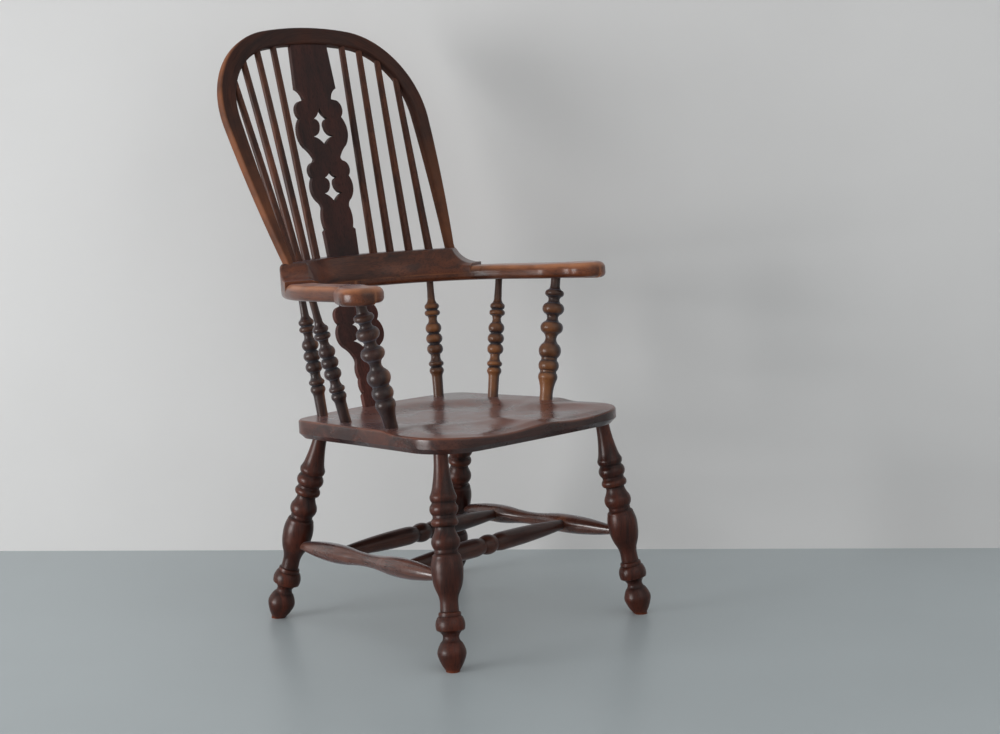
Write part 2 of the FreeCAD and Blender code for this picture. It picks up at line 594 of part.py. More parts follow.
outer = hoop_side("0", "0", "hoop_outer_lean")
inner = hoop_side("hoop_width", "hoop_foot_width", "hoop_inner_lean")
inner_left = mirrored(inner)
crown_edge = inner[-1][2]
hollow = turned_inside(inner[:-1] + [(inner[-1][0], inner[-1][1], crown_edge)] + inner_left)
outer_left = mirrored(outer)
hoop_outline = outer + outer_left[:-1] + [(outer_left[-1][0], outer_left[-1][1], None)] + hollow
hoop_body, hoop_pad = padded_body("hoop_bent", HOOP_FRAME, [hoop_outline], "XY_Plane", "hoop_depth",
                                  midplane=True)


def hoop_long_edge(edge):
    box = edge.BoundBox
    return box.ZLength < 1e-4 and box.YMax > size("hoop_foot_rise") + 1


soften(hoop_body, hoop_pad, "hoop_rounding", "Fillet", edges_where(hoop_pad.Shape, hoop_long_edge),
       "hoop_round")

# Crest rail: sawn to the same bow as the arms, with a hollow ramp at each end.
crest_corners = []
for across, reach, edge in (("1", "arm_outer", ("arm_outer", OUTWARD)), ("-1", "arm_outer", None),
                            ("-1", "crest_inner", ("crest_inner", INWARD)), ("1", "crest_inner", None)):
    crest_corners.append((f"{across} * {reach} * sin(crest_end_angle)",
                          f"arm_bow_y + {reach} * cos(crest_end_angle)", edge))
crest_body, crest_pad = padded_body("crest_sawn", ARM_FRAME, [crest_corners], "XY_Plane", "crest_height",
                                    "arm_thickness")


def crest_top_edge(edge, is_back):
    """Tests for the crest's long upper edge at the back or at the front."""
    middle = size("arm_bow_y") + size("crest_middle")
    return (level_edge(size("crest_top"))(edge) and edge.Length > size("arm_width") * 2
            and (edge.BoundBox.YMax > middle) == is_back)


rounded = crest_pad
for which, is_back in (("front", False), ("back", True)):
    edges = edges_where(rounded.Shape, lambda edge: crest_top_edge(edge, is_back))
    rounded = soften(crest_body, rounded, f"crest_{which}_rounding", "Fillet", edges, f"crest_{which}_round")
for side, sign in SIDES:
    angle = math.radians(90 - sign * size("crest_end_angle"))
    outwards = Vector(math.cos(angle), math.sin(angle), 0)
    start = Vector(0, size("arm_bow_y"), value("arm_thickness + crest_step + crest_ramp_radius"))
    start += outwards * (size("arm_inner") - size("arm_width"))
    ramp = along(start, start + outwards)
    crest_tools.append(rod(f"crest_{side}_ramp", ARM_FRAME.multiply(ramp), "crest_ramp_radius",
                           "3 * arm_width"))

# Sticks: four tapering sticks each side of the splat, from the crest rail into the hoop's inner edge.
def hoop_inner_height(across):
    """Height of the hoop's inner edge in its plane, at a place across."""
    crown = size("hoop_crown_radius") - size("hoop_width")
    shoulder = size("hoop_shoulder_radius") - size("hoop_width")
    if across < crown * size("hoop_shoulder_x") / size("hoop_bend"):
        return size("hoop_crown_y") + math.sqrt(crown ** 2 - across ** 2)
    return size("hoop_shoulder_y") + math.sqrt(shoulder ** 2 - (across - size("hoop_shoulder_x")) ** 2)


for number in (1, 2, 3, 4):
    for side, sign in SIDES:
        name = f"{side}_stick_{number}"
        across = size(f"stick_{number}_foot_x")
        bow = size("stick_bow_y") + math.sqrt(size("stick_bow_radius") ** 2 - across ** 2)
        foot = ARM_FRAME.multVec(Vector(sign * across, bow, size("crest_top")))
        across = size(f"stick_{number}_top_x")
        top = HOOP_FRAME.multVec(Vector(sign * across, hoop_inner_height(across), 0))
        length = f"{(top - foot).Length:.4f} + stick_crest_depth + stick_hoop_depth"
        start = along(foot, top).multiply(Placement(Vector(0, 0, -size("stick_crest_depth")), Rotation()))
        finish(rod(name, start, "stick_foot_diameter / 2", length, "stick_top_diameter / 2"), name)
        start = start.multiply(Placement(Vector(0, 0, -size("socket_bottom_gap")), Rotation()))
        hole = rod(f"{name}_holes", start, "stick_foot_diameter / 2 + glue_gap",
                   f"{length} + 2 * socket_bottom_gap", "stick_top_diameter / 2 + glue_gap")
        crest_tools.append(hole)
        hoop_tools.append(hole)

# Splats: fretted boards between hoop and crest rail and between arms and seat, housed at both ends.
def splat_eye(owner, rows):
    """Closed outline of one fretted opening, the same on both sides of the middle line."""
    corners = row_corners(owner, rows, "half_width", 1)
    return corners[:-1] + mirrored(corners)[:-1]


def splat_frame(foot, top):
    rise = top - foot
    return Placement(foot, Rotation(X_AXIS, 90 - math.degrees(math.atan2(rise.y, rise.z))))


def make_splat(name, foot, top, rows, eyes, head_half_width, head_housing):
    frame = splat_frame(foot, top)
    length = (top - foot).Length
    foot_half_width = f"{name}_{rows[0][0]}_half_width"
    corners = [(foot_half_width, "-splat_foot_housing", None)] + row_corners(name, rows, "half_width", 1)
    corners.append((head_half_width, f"{length:.4f} + {head_housing}", None))
    outlines = [corners + mirrored(corners)]
    outlines += [splat_eye(owner, eye_rows) for owner, eye_rows in eyes]
    body, _ = padded_body(f"{name}_board", frame, outlines, "XY_Plane", "splat_thickness", midplane=True)
    finish(body, name)
    half, deep = "(splat_thickness / 2 + glue_gap)", "(splat_foot_housing + socket_bottom_gap)"
    width = f"({foot_half_width} + glue_gap)"
    foot_hole = mortise(f"{name}_foot_mortise", frame, (f"-{width}", f"-{deep}", f"-{half}"), f"2 * {width}",
                        f"{deep} + splat_foot_housing", f"2 * {half}")
    width = f"({head_half_width} + glue_gap)"
    head_hole = mortise(f"{name}_head_mortise", frame,
                        (f"-{width}", f"{length:.4f} - splat_foot_housing", f"-{half}"), f"2 * {width}",
                        f"splat_foot_housing + {head_housing} + socket_bottom_gap", f"2 * {half}")
    return foot_hole, head_hole


foot_hole, head_hole = make_splat(
    "upper_splat", arm_point("0", "upper_splat_y", "crest_top"),
    HOOP_FRAME.multVec(Vector(0, size("hoop_inner_rise"), 0)), UPPER_SPLAT,
    (("upper_splat_low_eye", UPPER_SPLAT_LOW_EYE), ("upper_splat_high_eye", UPPER_SPLAT_HIGH_EYE)),
    "upper_splat_head_half_width", "splat_head_housing")
crest_tools.append(foot_hole)
hoop_tools.append(head_hole)
foot_hole, head_hole = make_splat(
    "lower_splat", seat_point("0", "lower_splat_seat_y"), arm_point("0", "lower_splat_arm_y"), LOWER_SPLAT,
    (("lower_splat_eye", LOWER_SPLAT_EYE),), "lower_splat_head_half_width", "splat_head_housing")
seat_tools.append(foot_hole)
for side, _ in SIDES:
    arm_tools[side].append(head_hole)

# Hidden dowels: two on each side pin the crest rail down on the butting arms.
dowels = []
for side, sign in SIDES:
    for place_name in ("inner", "outer"):
        angle = math.radians(90 - sign * size(f"crest_dowel_{place_name}_angle"))
        reach = size("crest_middle")
        centre = Vector(reach * math.cos(angle), size("arm_bow_y") + reach * math.sin(angle),
                        value("arm_thickness - crest_dowel_length / 2"))
        place = ARM_FRAME.multiply(Placement(centre, Rotation()))
        dowel = rod(f"{side}_{place_name}_dowel", place, "crest_dowel_diameter / 2", "crest_dowel_length")
        dowels.append(dowel)
        place = place.multiply(Placement(Vector(0, 0, -size("socket_bottom_gap")), Rotation()))
        hole = rod(f"{side}_{place_name}_dowel_hole", place, "crest_dowel_diameter / 2 + glue_gap",
                   "crest_dowel_length + 2 * socket_bottom_gap")
        crest_tools.append(hole)
        arm_tools[side].append(hole)
dowel_set = doc.addObject("Part::Compound", "crest_dowel_set")
dowel_set.Links = dowels
finish(dowel_set, "crest_dowels")
mortise_width = "hoop_foot_width + 2 * glue_gap"
for side, sign in SIDES:
    near = "hoop_foot_half_width - hoop_foot_width" if sign > 0 else "-hoop_foot_half_width"
    crest_tools.append(mortise(f"{side}_hoop_mortise", HOOP_FRAME,
                               (f"{near} - glue_gap", "-hoop_foot_depth - socket_bottom_gap",
                                "-hoop_depth / 2 - glue_gap"), mortise_width,
                               "hoop_foot_depth + socket_bottom_gap + hoop_foot_rise",
                               "hoop_depth + 2 * glue_gap"))
finish(crest_body, "crest_rail", crest_tools)
finish(hoop_body, "hoop", hoop_tools)

# Arms: each follows the bow to the middle of the back, and a glued wing widens its rounded hand.
def arm_corners(sign):
    middle_x = "(hand_start_x + hand_x - hand_radius) / 2"
    middle_y = "(hand_start_y + hand_y) / 2"
    half_chord = ("(hand_x - hand_radius - hand_start_x) / 2", "(hand_y - hand_start_y) / 2")
    curve = swell_radius(*half_chord, "hand_curve")
    corners = [
        ("hand_tip_x", "hand_tip_y", None), ("wing_back_x", "wing_back_y", None),
        ("arm_notch_x", "wing_back_y", None),
        ("arm_outer * cos(arm_splay)", "arm_bow_y + arm_outer * sin(arm_splay)", ("arm_outer", OUTWARD)),
        ("0", "arm_bow_y + arm_outer", None), ("0", "arm_bow_y + arm_inner", ("arm_inner", INWARD)),
        ("arm_inner * cos(arm_splay)", "arm_bow_y + arm_inner * sin(arm_splay)", None),
        ("hand_start_x", "hand_start_y", (curve, OUTWARD)), (middle_x, middle_y, (curve, INWARD)),
        ("hand_x - hand_radius", "hand_y", ("hand_radius", OUTWARD)),
    ]
    return corners if sign > 0 else mirrored(corners)


def wing_corners(sign):
    turn_x, turn_y = "hand_x + hand_radius * cos(wing_turn)", "hand_y + hand_radius * sin(wing_turn)"
    back_x = "arm_notch_x + wing_step"
    curve = swell_radius(f"{turn_x} - ({back_x})", f"wing_back_y - ({turn_y})", "wing_side_curve")
    corners = [
        ("hand_tip_x", "hand_tip_y", ("hand_radius", OUTWARD)), (turn_x, turn_y, (curve, INWARD)),
        (back_x, "wing_back_y", None), ("wing_back_x", "wing_back_y", None),
    ]
    return corners if sign > 0 else mirrored(corners)


def on_joint_face(edge):
    """Edges of the butt joint, the glue line and the wing's square back end, which stay sharp."""
    middle = edge.valueAt((edge.FirstParameter + edge.LastParameter) / 2)
    box = edge.BoundBox
    on_glue_line = (abs(middle.x) * math.cos(math.radians(size("arm_splay")))
                    + (middle.y - size("arm_bow_y")) * math.sin(math.radians(size("arm_splay"))))
    return (box.XMax < 1e-4 and box.XMin > -1e-4) or box.YLength < 1e-4 or (
        abs(on_glue_line - size("glue_reach")) < 0.1)


def on_outer_bow(edge):
    """Tests for the outer edges of the bow behind the wing, which end at the wing's glued notch."""
    middle = edge.valueAt((edge.FirstParameter + edge.LastParameter) / 2)
    reach = math.hypot(middle.x, middle.y - size("arm_bow_y"))
    return edge.BoundBox.YMin > size("wing_back_y") - 1e-4 and reach > size("arm_bow_radius")


for side, sign in SIDES:
    for name, corners, thickness, offset, tools in (
            ("arm", arm_corners(sign), "arm_thickness", "0", arm_tools[side]),
            ("hand_wing", wing_corners(sign), "arm_thickness + wing_overhang", "-wing_overhang", ())):
        name = f"{side}_{name}"
        body, pad = padded_body(f"{name}_sawn", ARM_FRAME, [corners], "XY_Plane", thickness, offset)
        faces = (value(offset), size("arm_thickness"))
        rounded = pad
        for which in ("outer", "inner"):
            edges = edges_where(rounded.Shape, lambda edge: not on_joint_face(edge)
                                and any(level_edge(height)(edge) for height in faces)
                                and on_outer_bow(edge) == (which == "outer"))
            if edges:
                rounded = soften(body, rounded, f"{name}_{which}_rounding", "Fillet", edges,
                                 f"arm_{which}_round")
        finish(body, name, tools)

# Seat: one thick plank, saddled with two thigh hollows and a dish behind the pommel.
front, back = "seat_front_half_width", "seat_back_half_width"
front_curve = swell_radius("0", f"2 * {front}", "seat_front_bow")
back_curve = swell_radius("0", f"2 * {back}", "seat_back_bow")
seat_outline = [(front, "seat_front_y", None), (back, "seat_back_y", (back_curve, OUTWARD)),
                (f"-{back}", "seat_back_y", None), (f"-{front}", "seat_front_y", (front_curve, OUTWARD))]
seat_body, seat_pad = padded_body("seat_plank", SEAT_FRAME, [seat_outline], "XY_Plane", "seat_thickness",
                                  "-seat_thickness")
rounded = seat_pad
for end, is_end in (("front", lambda edge: upright_edge(edge) and edge.BoundBox.YMax < 0),
                    ("back", lambda edge: upright_edge(edge) and edge.BoundBox.YMax > 0)):
    rounded = soften(seat_body, rounded, f"seat_{end}_corners", "Fillet", edges_where(rounded.Shape, is_end),
                     f"seat_{end}_corner")
rounded = soften(seat_body, rounded, "seat_top_rounding", "Fillet", edges_where(rounded.Shape, level_edge(0)),
                 "seat_top_round")
soften(seat_body, rounded, "seat_bottom_bevels", "Chamfer",
       edges_where(rounded.Shape, level_edge(-size("seat_thickness"))), "seat_bottom_bevel")
for name, hollow_name, across in (("left_thigh", "thigh", size("thigh_offset")),
                                  ("right_thigh", "thigh", -size("thigh_offset")), ("dish", "dish", 0)):
    scoop = doc.addObject("Part::Sphere", f"{name}_scoop")
    depth, radius = f"{hollow_name}_depth", f"{hollow_name}_radius"
    sphere_radius = f"({radius} ^ 2 / {depth} + {depth}) / 2"
    scoop.setExpression("Radius", bound(sphere_radius))
    centre = Vector(across, size(f"{hollow_name}_y"), value(f"{sphere_radius} - {depth}"))
    scoop.Placement = SEAT_FRAME.multiply(Placement(centre, Rotation(X_AXIS, 90)))
    seat_tools.append(scoop)
for (end, side), (foot, top) in leg_lines.items():
    start = along(foot, top).multiply(Placement(Vector(0, 0, (top - foot).Length - size("leg_socket_mouth")),
                                                Rotation()))
    seat_tools.append(rod(f"{end}_{side}_leg_hole", start, "leg_end_diameter / 2 + glue_gap",
                          "leg_socket_mouth + leg_socket_depth + socket_bottom_gap"))
finish(seat_body, "seat", seat_tools)

doc.recompute()
for item in doc.Objects:
    if "Invalid" in item.State or "Error" in item.State:
        raise RuntimeError(f"{item.Name} did not build: {item.State}")
os.makedirs("parts", exist_ok=True)
for name, piece in sub_parts:
    if piece.Shape.isNull() or not piece.Shape.isValid():
        raise RuntimeError(f"{name} has no valid shape")
    piece.Shape.exportStep(f"parts/{name}.step")
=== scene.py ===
import math

import bmesh
import bpy
from mathutils import Matrix, Vector
from mathutils.bvhtree import BVHTree
from mathutils.geometry import interpolate_bezier


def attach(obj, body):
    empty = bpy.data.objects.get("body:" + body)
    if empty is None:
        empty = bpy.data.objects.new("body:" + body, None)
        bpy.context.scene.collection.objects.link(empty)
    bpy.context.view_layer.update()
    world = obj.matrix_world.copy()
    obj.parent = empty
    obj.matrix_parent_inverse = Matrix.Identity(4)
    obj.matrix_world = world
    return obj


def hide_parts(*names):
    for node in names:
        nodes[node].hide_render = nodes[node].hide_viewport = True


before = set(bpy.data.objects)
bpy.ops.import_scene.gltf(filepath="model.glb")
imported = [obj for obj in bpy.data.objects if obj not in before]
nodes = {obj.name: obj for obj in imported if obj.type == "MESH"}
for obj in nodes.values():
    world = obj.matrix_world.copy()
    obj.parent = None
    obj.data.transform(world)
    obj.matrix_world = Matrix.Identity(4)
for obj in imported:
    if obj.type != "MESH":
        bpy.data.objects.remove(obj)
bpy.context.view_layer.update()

# Seat: one thick plank, saddled by hand with a dish behind and a hollow for each thigh, its front edge
# rolled over. Stained dark red-brown and polished, with the polish rubbed thin where people sit.
FIGURE_STRETCH, PORE_STRETCH, PATCH_SCALE, RIPPLE_SCALE = (26, 2.2, 26), (420, 24, 420), 11.0, 42.0
SHADE_SAMPLES, GROOVE_SHADE_COVER, GROOVE_DULLING = 6, 0.85, 0.3
SHINE, COAT_SOFTNESS, HAZE_SOFTNESS, HAZE_TINT = 0.26, 0.2, 0.45, (0.72, 0.80, 1.0, 1)


def add_node(tree, kind, inputs=None, **settings):
    """Adds a shader node, with constants and links given by input name."""
    made = tree.nodes.new(kind)
    for key, setting in settings.items():
        setattr(made, key, setting)
    for key, given in (inputs or {}).items():
        if isinstance(given, bpy.types.NodeSocket):
            tree.links.new(given, made.inputs[key])
        else:
            made.inputs[key].default_value = given
    return made


def two_tone(tree, factor, low, low_colour, high, high_colour):
    """Colour that goes from one tone to another between two values of a factor."""
    ramp = add_node(tree, "ShaderNodeValToRGB", {"Fac": factor})
    ramp.color_ramp.elements[0].position = low
    ramp.color_ramp.elements[0].color = (*low_colour, 1)
    ramp.color_ramp.elements[1].position = high
    ramp.color_ramp.elements[1].color = (*high_colour, 1)
    return ramp.outputs["Color"]


def between(tree, value, low, high, low_out=0.0, high_out=1.0):
    """Value carried smoothly from one range to another."""
    limits = {"Value": value, "From Min": low, "From Max": high, "To Min": low_out, "To Max": high_out}
    return add_node(tree, "ShaderNodeMapRange", limits, interpolation_type="SMOOTHSTEP").outputs["Result"]


def maths(tree, operation, first, second=0.0):
    """Result of one step of arithmetic on shader values."""
    return add_node(tree, "ShaderNodeMath", {0: first, 1: second}, operation=operation).outputs["Value"]


def product(tree, first, second):
    """Two shader values multiplied."""
    return maths(tree, "MULTIPLY", first, second)


def axis_of(tree, vector, axis):
    """One of the three numbers of a shader vector."""
    return add_node(tree, "ShaderNodeSeparateXYZ", {"Vector": vector}).outputs[axis]


def mix_colour(tree, factor, first, second, blend="MIX"):
    """Colour mixed from two others."""
    mixed = add_node(tree, "ShaderNodeMix", data_type="RGBA", blend_type=blend)
    for key, given in (("Factor", factor), ("A", first), ("B", second)):
        sockets = [socket for socket in mixed.inputs if socket.name == key and socket.enabled]
        if isinstance(given, bpy.types.NodeSocket):
            tree.links.new(given, sockets[0])
        else:
            sockets[0].default_value = given
    return [socket for socket in mixed.outputs if socket.enabled][0]


def noise(tree, place, scale, detail, roughness=0.5, distortion=0.0):
    """Cloudy value that changes from place to place."""
    inputs = {"Vector": place, "Scale": scale, "Detail": detail, "Roughness": roughness,
              "Distortion": distortion}
    return add_node(tree, "ShaderNodeTexNoise", inputs).outputs["Fac"]


def openness(tree, reach, inside=False):
    """How open the surface lies: low in a groove or, felt from inside, low at an edge."""
    return add_node(tree, "ShaderNodeAmbientOcclusion", {"Distance": reach}, samples=SHADE_SAMPLES,
                    only_local=True, inside=inside).outputs["AO"]


def straight_grain(turn=(0, 0, 0)):
    """Space in which the wood's grain runs along Y, for a piece cut from a straight board."""
    def space(tree):
        place = add_node(tree, "ShaderNodeTexCoord").outputs["Object"]
        return add_node(tree, "ShaderNodeMapping", {"Vector": place, "Rotation": turn}).outputs["Vector"]
    return space


def stained_wood(name, grain, dark, light, rubbed_and_lit, gloss, rub=0.5, worn_and_lit_faces=None, coat=0.15,
                 edge_reach=0.007, groove_shade=(0.010, 0.0065, 0.006), groove_reach=0.012, haze=0.0):
    """Stained and polished hardwood: figure and pores along the grain, painted shade in the grooves, rubbed
    high places, and chosen faces painted lighter, for wear and on some pieces for light.
    """
    material = bpy.data.materials.new(name)
    material.use_nodes = True
    tree = material.node_tree
    shader = tree.nodes["Principled BSDF"]
    space = grain(tree)
    place = add_node(tree, "ShaderNodeTexCoord").outputs["Object"]
    stretched = add_node(tree, "ShaderNodeMapping", {"Vector": space, "Scale": FIGURE_STRETCH})
    figure = noise(tree, stretched.outputs["Vector"], 1.0, 5.0, roughness=0.6, distortion=0.9)
    fine = add_node(tree, "ShaderNodeMapping", {"Vector": space, "Scale": PORE_STRETCH})
    pores = noise(tree, fine.outputs["Vector"], 1.0, 2.0)
    patches = noise(tree, place, PATCH_SCALE, 4.0, roughness=0.6)
    stain = two_tone(tree, figure, 0.34, dark, 0.68, light)
    pore_shade = two_tone(tree, pores, 0.34, (0.35, 0.30, 0.30), 0.5, (1, 1, 1))
    stain = mix_colour(tree, 0.6, stain, pore_shade, "MULTIPLY")
    cloudy = two_tone(tree, patches, 0.30, (0.62, 0.60, 0.62), 0.62, (1.12, 1.06, 1.0))
    stain = mix_colour(tree, 1.0, stain, cloudy, "MULTIPLY")

    # Painted shade: where the ambient occlusion finds a groove, the colour is darkened towards the given
    # shade colour.
    clear = openness(tree, groove_reach)
    sunk = between(tree, clear, 0.64, 0.995, 1.0, 0.0)
    high = between(tree, openness(tree, edge_reach, inside=True), 0.35, 0.9, 1.0, 0.0)
    worn_here = between(tree, patches, 0.36, 0.62, 0.15, 1.0)
    rub_and_light_amount = product(tree, product(tree, high, worn_here), rub)
    # Chosen faces are painted in the rubbed colour: wear on the seat and arms, and on the supports and hoop
    # partly wear and partly painted window light.
    if worn_and_lit_faces:
        level = between(tree, clear, 0.80, 0.99)
        patchy = between(tree, patches, 0.34, 0.60, 0.35, 1.0)
        worn_and_lit = product(tree, product(tree, worn_and_lit_faces(tree), level), patchy)
        rub_and_light_amount = maths(tree, "MAXIMUM", rub_and_light_amount, worn_and_lit)
    colour = mix_colour(tree, rub_and_light_amount, stain, (*rubbed_and_lit, 1))
    colour = mix_colour(tree, product(tree, sunk, GROOVE_SHADE_COVER), colour, (*groove_shade, 1))
    tree.links.new(colour, shader.inputs["Base Color"])

    polish = between(tree, patches, 0.3, 0.7, gloss - 0.05, gloss + 0.10)
    dull = maths(tree, "ADD", product(tree, sunk, GROOVE_DULLING), polish)
    tree.links.new(dull, shader.inputs["Roughness"])
    shader.inputs["Specular IOR Level"].default_value = SHINE
    shader.inputs["Coat Weight"].default_value = coat
    shader.inputs["Coat Roughness"].default_value = COAT_SOFTNESS
    shader.inputs["Sheen Weight"].default_value = haze
    shader.inputs["Sheen Roughness"].default_value = HAZE_SOFTNESS
    shader.inputs["Sheen Tint"].default_value = HAZE_TINT
    ripple = noise(tree, place, RIPPLE_SCALE, 2.0)
    hand_worn = add_node(tree, "ShaderNodeBump", {"Height": ripple, "Strength": 0.16, "Distance": 0.002})
    grained = add_node(tree, "ShaderNodeBump", {"Height": pores, "Strength": 0.12, "Distance": 0.0005,
                                                "Normal": hand_worn.outputs["Normal"]})
    tree.links.new(grained.outputs["Normal"], shader.inputs["Normal"])
    tree.links.new(hand_worn.outputs["Normal"], shader.inputs["Coat Normal"])
    return material


SEAT_PITCH = math.radians(2.9)
SEAT_PIVOT = Vector((0, -0.0815, 0.4075))
SEAT_THICKNESS, SEAT_MIDDLE_Y = 0.036, -0.087
SEAT_SEGMENTS, SEAT_RINGS, SEAT_ROUND_STEPS = 240, 44, 6
SEAT_HUB, SEAT_UNDER_RING, SEAT_START_RADIUS = 0.02, 0.6, 0.01
SEAT_TOP_ROUND, SEAT_BEVEL, SEAT_FRONT_ROLL, SEAT_ROLL_WIDTH = 0.005, 0.010, 0.0055, 0.034
ROLL_FADE, ROLL_FADE_START, SMOOTH_BELOW = 0.2, 0.35, math.radians(34)
DISH_MIDDLE, DISH_REACH, DISH_DEPTH = Vector((0, -0.066)), 0.176, 0.0085
THIGH_OFFSET, THIGH_Y, THIGH_REACH, THIGH_DEPTH = 0.104, -0.245, 0.135, 0.0085
seat_shell = BVHTree.FromPolygons([vertex.co for vertex in nodes["seat"].data.vertices],
                                  [face.vertices for face in nodes["seat"].data.polygons])
seat_turn = Matrix.Rotation(-SEAT_PITCH, 4, "X")
seat_place = Matrix.Translation(SEAT_PIVOT) @ seat_turn @ Matrix.Translation(Vector((0, -SEAT_PIVOT.y, 0)))


def seat_reach(angle):
    """How far the plank's side lies from its middle, felt from outside at half its thickness."""
    outwards = Vector((math.cos(angle), math.sin(angle), 0))
    start = seat_place @ (Vector((0, SEAT_MIDDLE_Y, -SEAT_THICKNESS / 2)) + outwards)
    hit = seat_shell.ray_cast(start, -(seat_turn.to_3x3() @ outwards))
    return 1 - hit[3]


def eased(value, low, high):
    """Share of the way from low to high, with a smooth start and stop."""
    share = min(max((value - low) / (high - low), 0), 1)
    return share * share * (3 - 2 * share)


def saddle_depth(x, y, front_gap):
    """Depth of the hand-cut saddle at a place on the plank."""
    depths = [DISH_DEPTH * (1 - eased((Vector((x, y)) - DISH_MIDDLE).length / DISH_REACH, 0.55, 1.03))]
    for side in (-1, 1):
        away = math.hypot(x - side * THIGH_OFFSET, y - THIGH_Y)
        depths.append(THIGH_DEPTH * (1 - eased(away / THIGH_REACH, 0.35, 1.05)))
    blended = sum(depth ** 3 for depth in depths) ** (1 / 3)
    return blended + SEAT_FRONT_ROLL * (1 - eased(front_gap, 0, SEAT_ROLL_WIDTH))


seat_rows = [(SEAT_HUB, 0, -SEAT_THICKNESS), (SEAT_UNDER_RING, 0, -SEAT_THICKNESS),
             (1, SEAT_BEVEL, -SEAT_THICKNESS), (1, 0, SEAT_BEVEL - SEAT_THICKNESS),
             (1, 0, -SEAT_THICKNESS / 2)]
for step in range(SEAT_ROUND_STEPS + 1):
    lean = math.radians(90 / SEAT_ROUND_STEPS * step)
    seat_rows.append((1, SEAT_TOP_ROUND * (1 - math.cos(lean)), SEAT_TOP_ROUND * (math.sin(lean) - 1)))
seat_rows += [(1 - ring / SEAT_RINGS, SEAT_TOP_ROUND, 0) for ring in range(1, SEAT_RINGS)]
seat_mesh = bmesh.new()
bmesh.ops.create_circle(seat_mesh, segments=SEAT_SEGMENTS, radius=SEAT_START_RADIUS,
                        matrix=Matrix.Translation((0, SEAT_MIDDLE_Y, 0)))
ring, ring_edges = list(seat_mesh.verts), list(seat_mesh.edges)
seat_reaches = {}
for row, (share, inset, height) in enumerate(seat_rows):
    if row:
        grown = bmesh.ops.extrude_edge_only(seat_mesh, edges=ring_edges)["geom"]
        ring = [part for part in grown if isinstance(part, bmesh.types.BMVert)]
        ring_edges = [part for part in grown if isinstance(part, bmesh.types.BMEdge)]
    for vertex in ring:
        angle = math.atan2(vertex.co.y - SEAT_MIDDLE_Y, vertex.co.x)
        spoke = round(angle / (2 * math.pi) * SEAT_SEGMENTS)
        if spoke not in seat_reaches:
            seat_reaches[spoke] = seat_reach(angle)
        reach = (seat_reaches[spoke] - inset) * share
        x, y = reach * math.cos(angle), SEAT_MIDDLE_Y + reach * math.sin(angle)
        sunk = 0
        if height > -SEAT_TOP_ROUND - 1e-9:
            front_gap = (seat_reaches[spoke] - reach) * max(-math.sin(angle), 0)
            sunk = saddle_depth(x, y, front_gap + ROLL_FADE * max(math.sin(angle) + ROLL_FADE_START, 0))
        vertex.co = (x, y, height - sunk)
bmesh.ops.holes_fill(seat_mesh, edges=seat_mesh.edges, sides=0)
bmesh.ops.recalc_face_normals(seat_mesh, faces=seat_mesh.faces)
bmesh.ops.transform(seat_mesh, matrix=seat_place, verts=seat_mesh.verts)


def new_piece(name, made, material, node):
    """Finished object from a bmesh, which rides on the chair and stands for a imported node."""
    mesh = bpy.data.meshes.new(name)
    made.to_mesh(mesh)
    made.free()
    mesh.shade_smooth()
    mesh.set_sharp_from_angle(angle=SMOOTH_BELOW)
    mesh.materials.append(material)
    piece = bpy.data.objects.new(name, mesh)
    bpy.context.scene.collection.objects.link(piece)
    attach(piece, "root")
    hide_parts(node)


def upward_faces(tree):
    """How far a face looks upwards."""
    facing = add_node(tree, "ShaderNodeTexCoord").outputs["Normal"]
    return between(tree, axis_of(tree, facing, "Z"), 0.10, 0.85, 0.0, 0.72)


cross_grain = straight_grain((0, 0, math.radians(90)))
seat_wood = stained_wood("seat_wood", cross_grain, (0.026, 0.009, 0.007), (0.088, 0.025, 0.0135),
                         (0.21, 0.060, 0.026), gloss=0.28, rub=0.6, worn_and_lit_faces=upward_faces, coat=0.5,
                         haze=0.05)
new_piece("saddled_seat", seat_mesh, seat_wood, "seat")

# Legs: turned between centres and driven into blind sockets while they are green, on pear feet. The
# quirks beside each bead are painted near black as shade. Each row of the turning holds, in millimetres, a
# height, the diameter there and the swell of the curve up to the next row.
LEG_ROWS = (
    (-8, 24, 0), (2, 26, 1.1), (26, 50, 1.3), (40, 49.5, 0.5), (51.5, 38.5, -0.8),
    (59, 29.5, 0), (62, 29, -0.8), (71, 41, 0.3), (73.5, 51, 2.4), (96, 46, 0.2), (98, 41, 0.2),
    (104.5, 40, 0), (106.5, 33.8, 0), (120, 33, -1.3), (141, 42.5, 1.6), (172, 57.2, 1.8), (203, 51.5, 1.0),
    (209, 44.5, 0), (210.5, 42, 0.2), (216, 42, 0), (217.5, 43.5, 3.6), (240, 46.5, -0.5), (252, 36.5, 0),
    (256.5, 36, 0), (259, 45, 2.2), (271, 45, 0), (273, 42, 0), (277.5, 42, 0), (279.5, 45.5, 3.4),
    (298, 44.5, 0), (300.5, 42, 0), (304, 46.6, 0.5), (311.5, 48.8, -0.9), (332, 36.5, -1.2),
    (382, 26.5, 0), (402, 26.5, 0),
)
LEG_ENDS = {"front": (Vector((0.256, -0.3316, 0)), Vector((0.216, -0.266, -SEAT_THICKNESS))),
            "back": (Vector((0.240, 0.181, 0)), Vector((0.191, 0.097, -SEAT_THICKNESS)))}
LEG_STEPS, CURVE_STEPS, MILLIMETRES = 72, 7, 1000
SIDES = {"left": 1, "right": -1}


